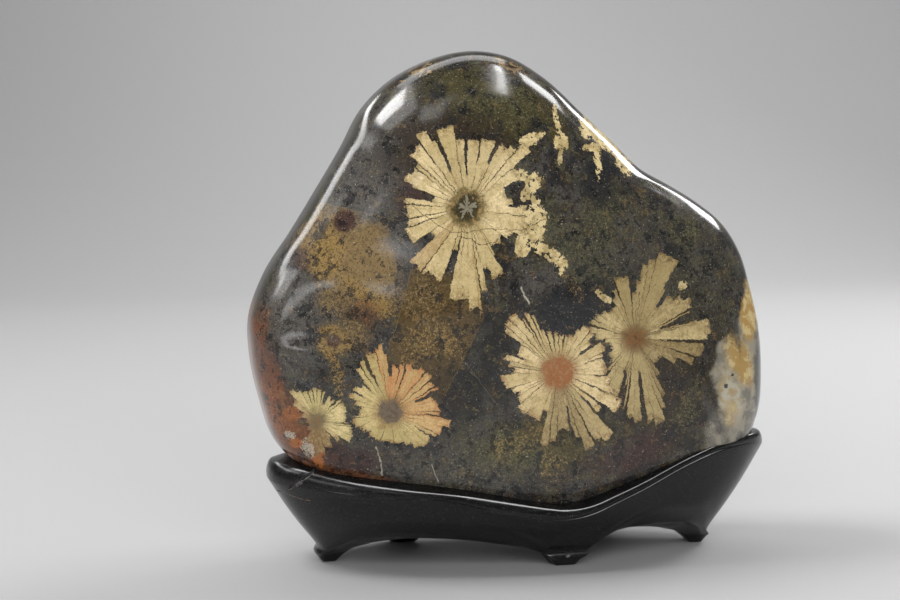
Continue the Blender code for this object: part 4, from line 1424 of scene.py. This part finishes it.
# Softboxes: what each faces, its azimuth and elevation in degrees, its distance, width and height in metres,
# its turn about its own middle in degrees, its power in watts, whether it shows in polish, and whether it
# lights what is dull.
STUDIO_LIGHTS = (
    ("left_box", STONE_MIDDLE, -100, 54, 1.5, (0.56, 0.66), 0, 17, True, True),
    ("left_glow", STONE_MIDDLE, -84, 56, 1.55, (1.20, 0.95), 0, 10, True, False),
    ("left_strip", STONE_MIDDLE, -131, 27, 1.6, (1.95, 0.17), 0, 6.4, True, False),
    ("left_card", STONE_MIDDLE, -48, 12, 1.9, (1.05, 0.24), 0, 3.0, True, False),
    ("left_patch", STONE_MIDDLE, -92, 25, 1.6, (0.80, 0.34), 0, 3.2, True, False),
    ("right_box", STONE_MIDDLE, 121, 28, 1.5, (0.48, 0.36), 0, 7.2, True, True),
    ("right_high", STONE_MIDDLE, 100, 51, 1.5, (0.34, 0.36), 0, 5.1, True, True),
    ("ceiling_strip", STONE_MIDDLE, 63, 68, 1.5, (0.95, 0.085), 27, 5.5, True, False),
    ("rear_box", STONE_MIDDLE, 178, 62, 1.7, (1.40, 0.60), 0, 8, True, False),
    ("veil_card", STONE_MIDDLE, -8, 57, 1.9, (0.50, 0.42), 0, 1.5, True, False),
    ("haze_card", STONE_MIDDLE, -18, 15, 2.1, (0.24, 0.22), 0, 0.55, True, False),
    ("front_fill", STONE_MIDDLE, -8, 26, 2.2, (2.4, 1.2), 0, 34, False, True),
    ("backdrop_fill", BACKDROP_FOOT, 0, 78, 1.5, (2.6, 0.7), 0, 16, False, True),
)

# Softboxes that light the lacquer alone, given in the same way.
LACQUER_LIGHTS = (
    ("lip_box", STONE_MIDDLE, 12, 58, 1.5, (1.80, 0.70), 0, 60, True, False),
    ("end_box", STONE_MIDDLE, 84, 50, 1.5, (0.80, 0.50), 0, 20, True, False),
)

WORLD_COLOUR = (0.5, 0.5, 0.51, 1)
WORLD_STRENGTH = 0.35

CAMERA_PLACE = Vector((-217.1, -845.3, 210.9)) * MM
CAMERA_PITCH = math.radians(6)
SENSOR_WIDTH = 36
CLIP_START = 0.01

# The paper sweep, in metres: half its width, where it starts, where it bends, the bend's radius and its top.
SWEEP_HALF_WIDTH, SWEEP_NEAR, SWEEP_BEND, SWEEP_RADIUS, SWEEP_TOP = 3.0, -2.5, 1.2, 0.9, 3.0
SWEEP_STEPS = 16
PAPER_ROUGHNESS = 0.6


class BuildStage(bpy.types.Operator):
    """Set up the floor, the backdrop, the lights and the camera"""

    bl_idname = "chrysanthemum.stage"
    bl_label = "Stage"

    def execute(self, context):
        settings = stage_settings()
        self.add_sweep(context, settings.floor_tone, settings.wall_tone)
        self.add_camera(context, settings.lens)
        for softbox in STUDIO_LIGHTS:
            self.add_light(context, *softbox)
        lacquered = bpy.data.collections.new("lacquered")
        lacquered.objects.link(bpy.data.objects["carved_stand"])
        for softbox in LACQUER_LIGHTS:
            self.add_light(context, *softbox).light_linking.receiver_collection = lacquered
        world = bpy.data.worlds.new("studio")
        context.scene.world = world
        world.use_nodes = True
        background = world.node_tree.nodes["Background"]
        background.inputs["Color"].default_value = WORLD_COLOUR
        background.inputs["Strength"].default_value = WORLD_STRENGTH
        context.scene.view_settings.view_transform = "Standard"
        return {"FINISHED"}

    def add_sweep(self, context, tone, wall):
        """A paper sweep: a flat floor that curves up into a wall far behind, with painted shade on its
        colour.
        """
        profile = [(SWEEP_NEAR, 0.0), (SWEEP_BEND, 0.0)]
        for k in range(1, SWEEP_STEPS + 1):
            turn = math.radians(90 * k / SWEEP_STEPS)
            profile.append((SWEEP_BEND + SWEEP_RADIUS * math.sin(turn), SWEEP_RADIUS * (1 - math.cos(turn))))
        profile.append((SWEEP_BEND + SWEEP_RADIUS, SWEEP_TOP))
        mesh = bpy.data.meshes.new("paper_sweep")
        verts = [(side * SWEEP_HALF_WIDTH, y, z) for y, z in profile for side in (-1, 1)]
        faces = [(2 * k, 2 * k + 1, 2 * k + 3, 2 * k + 2) for k in range(len(profile) - 1)]
        mesh.from_pydata(verts, [], faces)
        mesh.shade_smooth()
        material, n, shader = new_material("pale_paper")
        here = n.add("ShaderNodeTexCoord").outputs["Object"]
        across, depth, height = n.split(here)
        behind = n.step(depth, 1.05, 1.9)
        shade = n.mix(behind, (tone, tone, tone, 1), (wall, wall, wall * 1.005, 1))
        # Painted shade: the paper is painted darker towards the top of the wall and towards the left,
        # standing in for how the lamps' light falls there.
        high = n.times(n.step(height, 0.1, 1.1), 0.12)
        left = n.times(n.step(across, 0.5, -0.5), n.line(behind, 0, 1, 0.19, 0.36))
        painted_shade = n.minus(n.minus(1.0, high), left)
        fibre = n.line(n.noise(here, 900, 3, 0.6), 0.2, 0.8, 0.985, 1.015)
        shade = n.vector("SCALE", shade, scale=n.times(painted_shade, fibre))
        n.put(shader.inputs["Base Color"], shade)
        n.put(shader.inputs["Roughness"], PAPER_ROUGHNESS)
        new_piece("paper_sweep", mesh, material)

    def add_camera(self, context, lens):
        data = bpy.data.cameras.new("camera")
        data.lens = lens
        data.sensor_width = SENSOR_WIDTH
        data.clip_start = CLIP_START
        camera = bpy.data.objects.new("camera", data)
        context.scene.collection.objects.link(camera)
        camera.location = CAMERA_PLACE
        ahead = Vector((
            math.sin(FACE_TURN) * math.cos(CAMERA_PITCH),
            math.cos(FACE_TURN) * math.cos(CAMERA_PITCH),
            -math.sin(CAMERA_PITCH),
        ))
        camera.rotation_euler = ahead.to_track_quat("-Z", "Y").to_euler()
        context.scene.camera = camera

    def add_light(self, context, name, aim, azimuth, elevation, away, size, twist, energy, shows, lights):
        """A softbox that faces its aim. Azimuth runs from straight in front towards the right."""
        data = bpy.data.lights.new(name, "AREA")
        data.shape = "RECTANGLE"
        data.size, data.size_y = size
        data.energy = energy
        light = bpy.data.objects.new(name, data)
        context.scene.collection.objects.link(light)
        turn, rise = math.radians(azimuth), math.radians(elevation)
        towards = Vector((math.sin(turn) * math.cos(rise), -math.cos(turn) * math.cos(rise), math.sin(rise)))
        light.location = aim + towards * away
        level = towards.to_track_quat("Z", "Y")
        light.rotation_euler = (level @ Quaternion((0, 0, 1), math.radians(twist))).to_euler()
        light.visible_glossy = shows
        light.visible_diffuse = lights
        return light


class StonePanel(bpy.types.Panel):
    """Settings and steps of the stone on its stand"""

    bl_idname = "VIEW3D_PT_chrysanthemum"
    bl_label = "Chrysanthemum Stone"
    bl_space_type = "VIEW_3D"
    bl_region_type = "UI"
    bl_category = "Stone"

    def draw(self, context):
        for settings, operator in (
            (stone_settings(), BuildStone), (stand_settings(), BuildStand), (stage_settings(), BuildStage),
        ):
            box = self.layout.box()
            for name in settings.__annotations__:
                box.prop(settings, name)
            box.operator(operator.bl_idname)


CLASSES = (StoneSettings, StandSettings, StageSettings, BuildStone, BuildStand, BuildStage, StonePanel)


def register():
    for cls in CLASSES:
        bpy.utils.register_class(cls)
    bpy.types.Scene.chrysanthemum_stone = PointerProperty(type=StoneSettings)
    bpy.types.Scene.chrysanthemum_stand = PointerProperty(type=StandSettings)
    bpy.types.Scene.chrysanthemum_stage = PointerProperty(type=StageSettings)


def unregister():
    del bpy.types.Scene.chrysanthemum_stage
    del bpy.types.Scene.chrysanthemum_stand
    del bpy.types.Scene.chrysanthemum_stone
    for cls in reversed(CLASSES):
        bpy.utils.unregister_class(cls)


def main():
    register()
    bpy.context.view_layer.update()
    bpy.ops.chrysanthemum.stone()
    bpy.ops.chrysanthemum.stand()
    bpy.ops.chrysanthemum.stage()


if __name__ == "__main__":
    main()
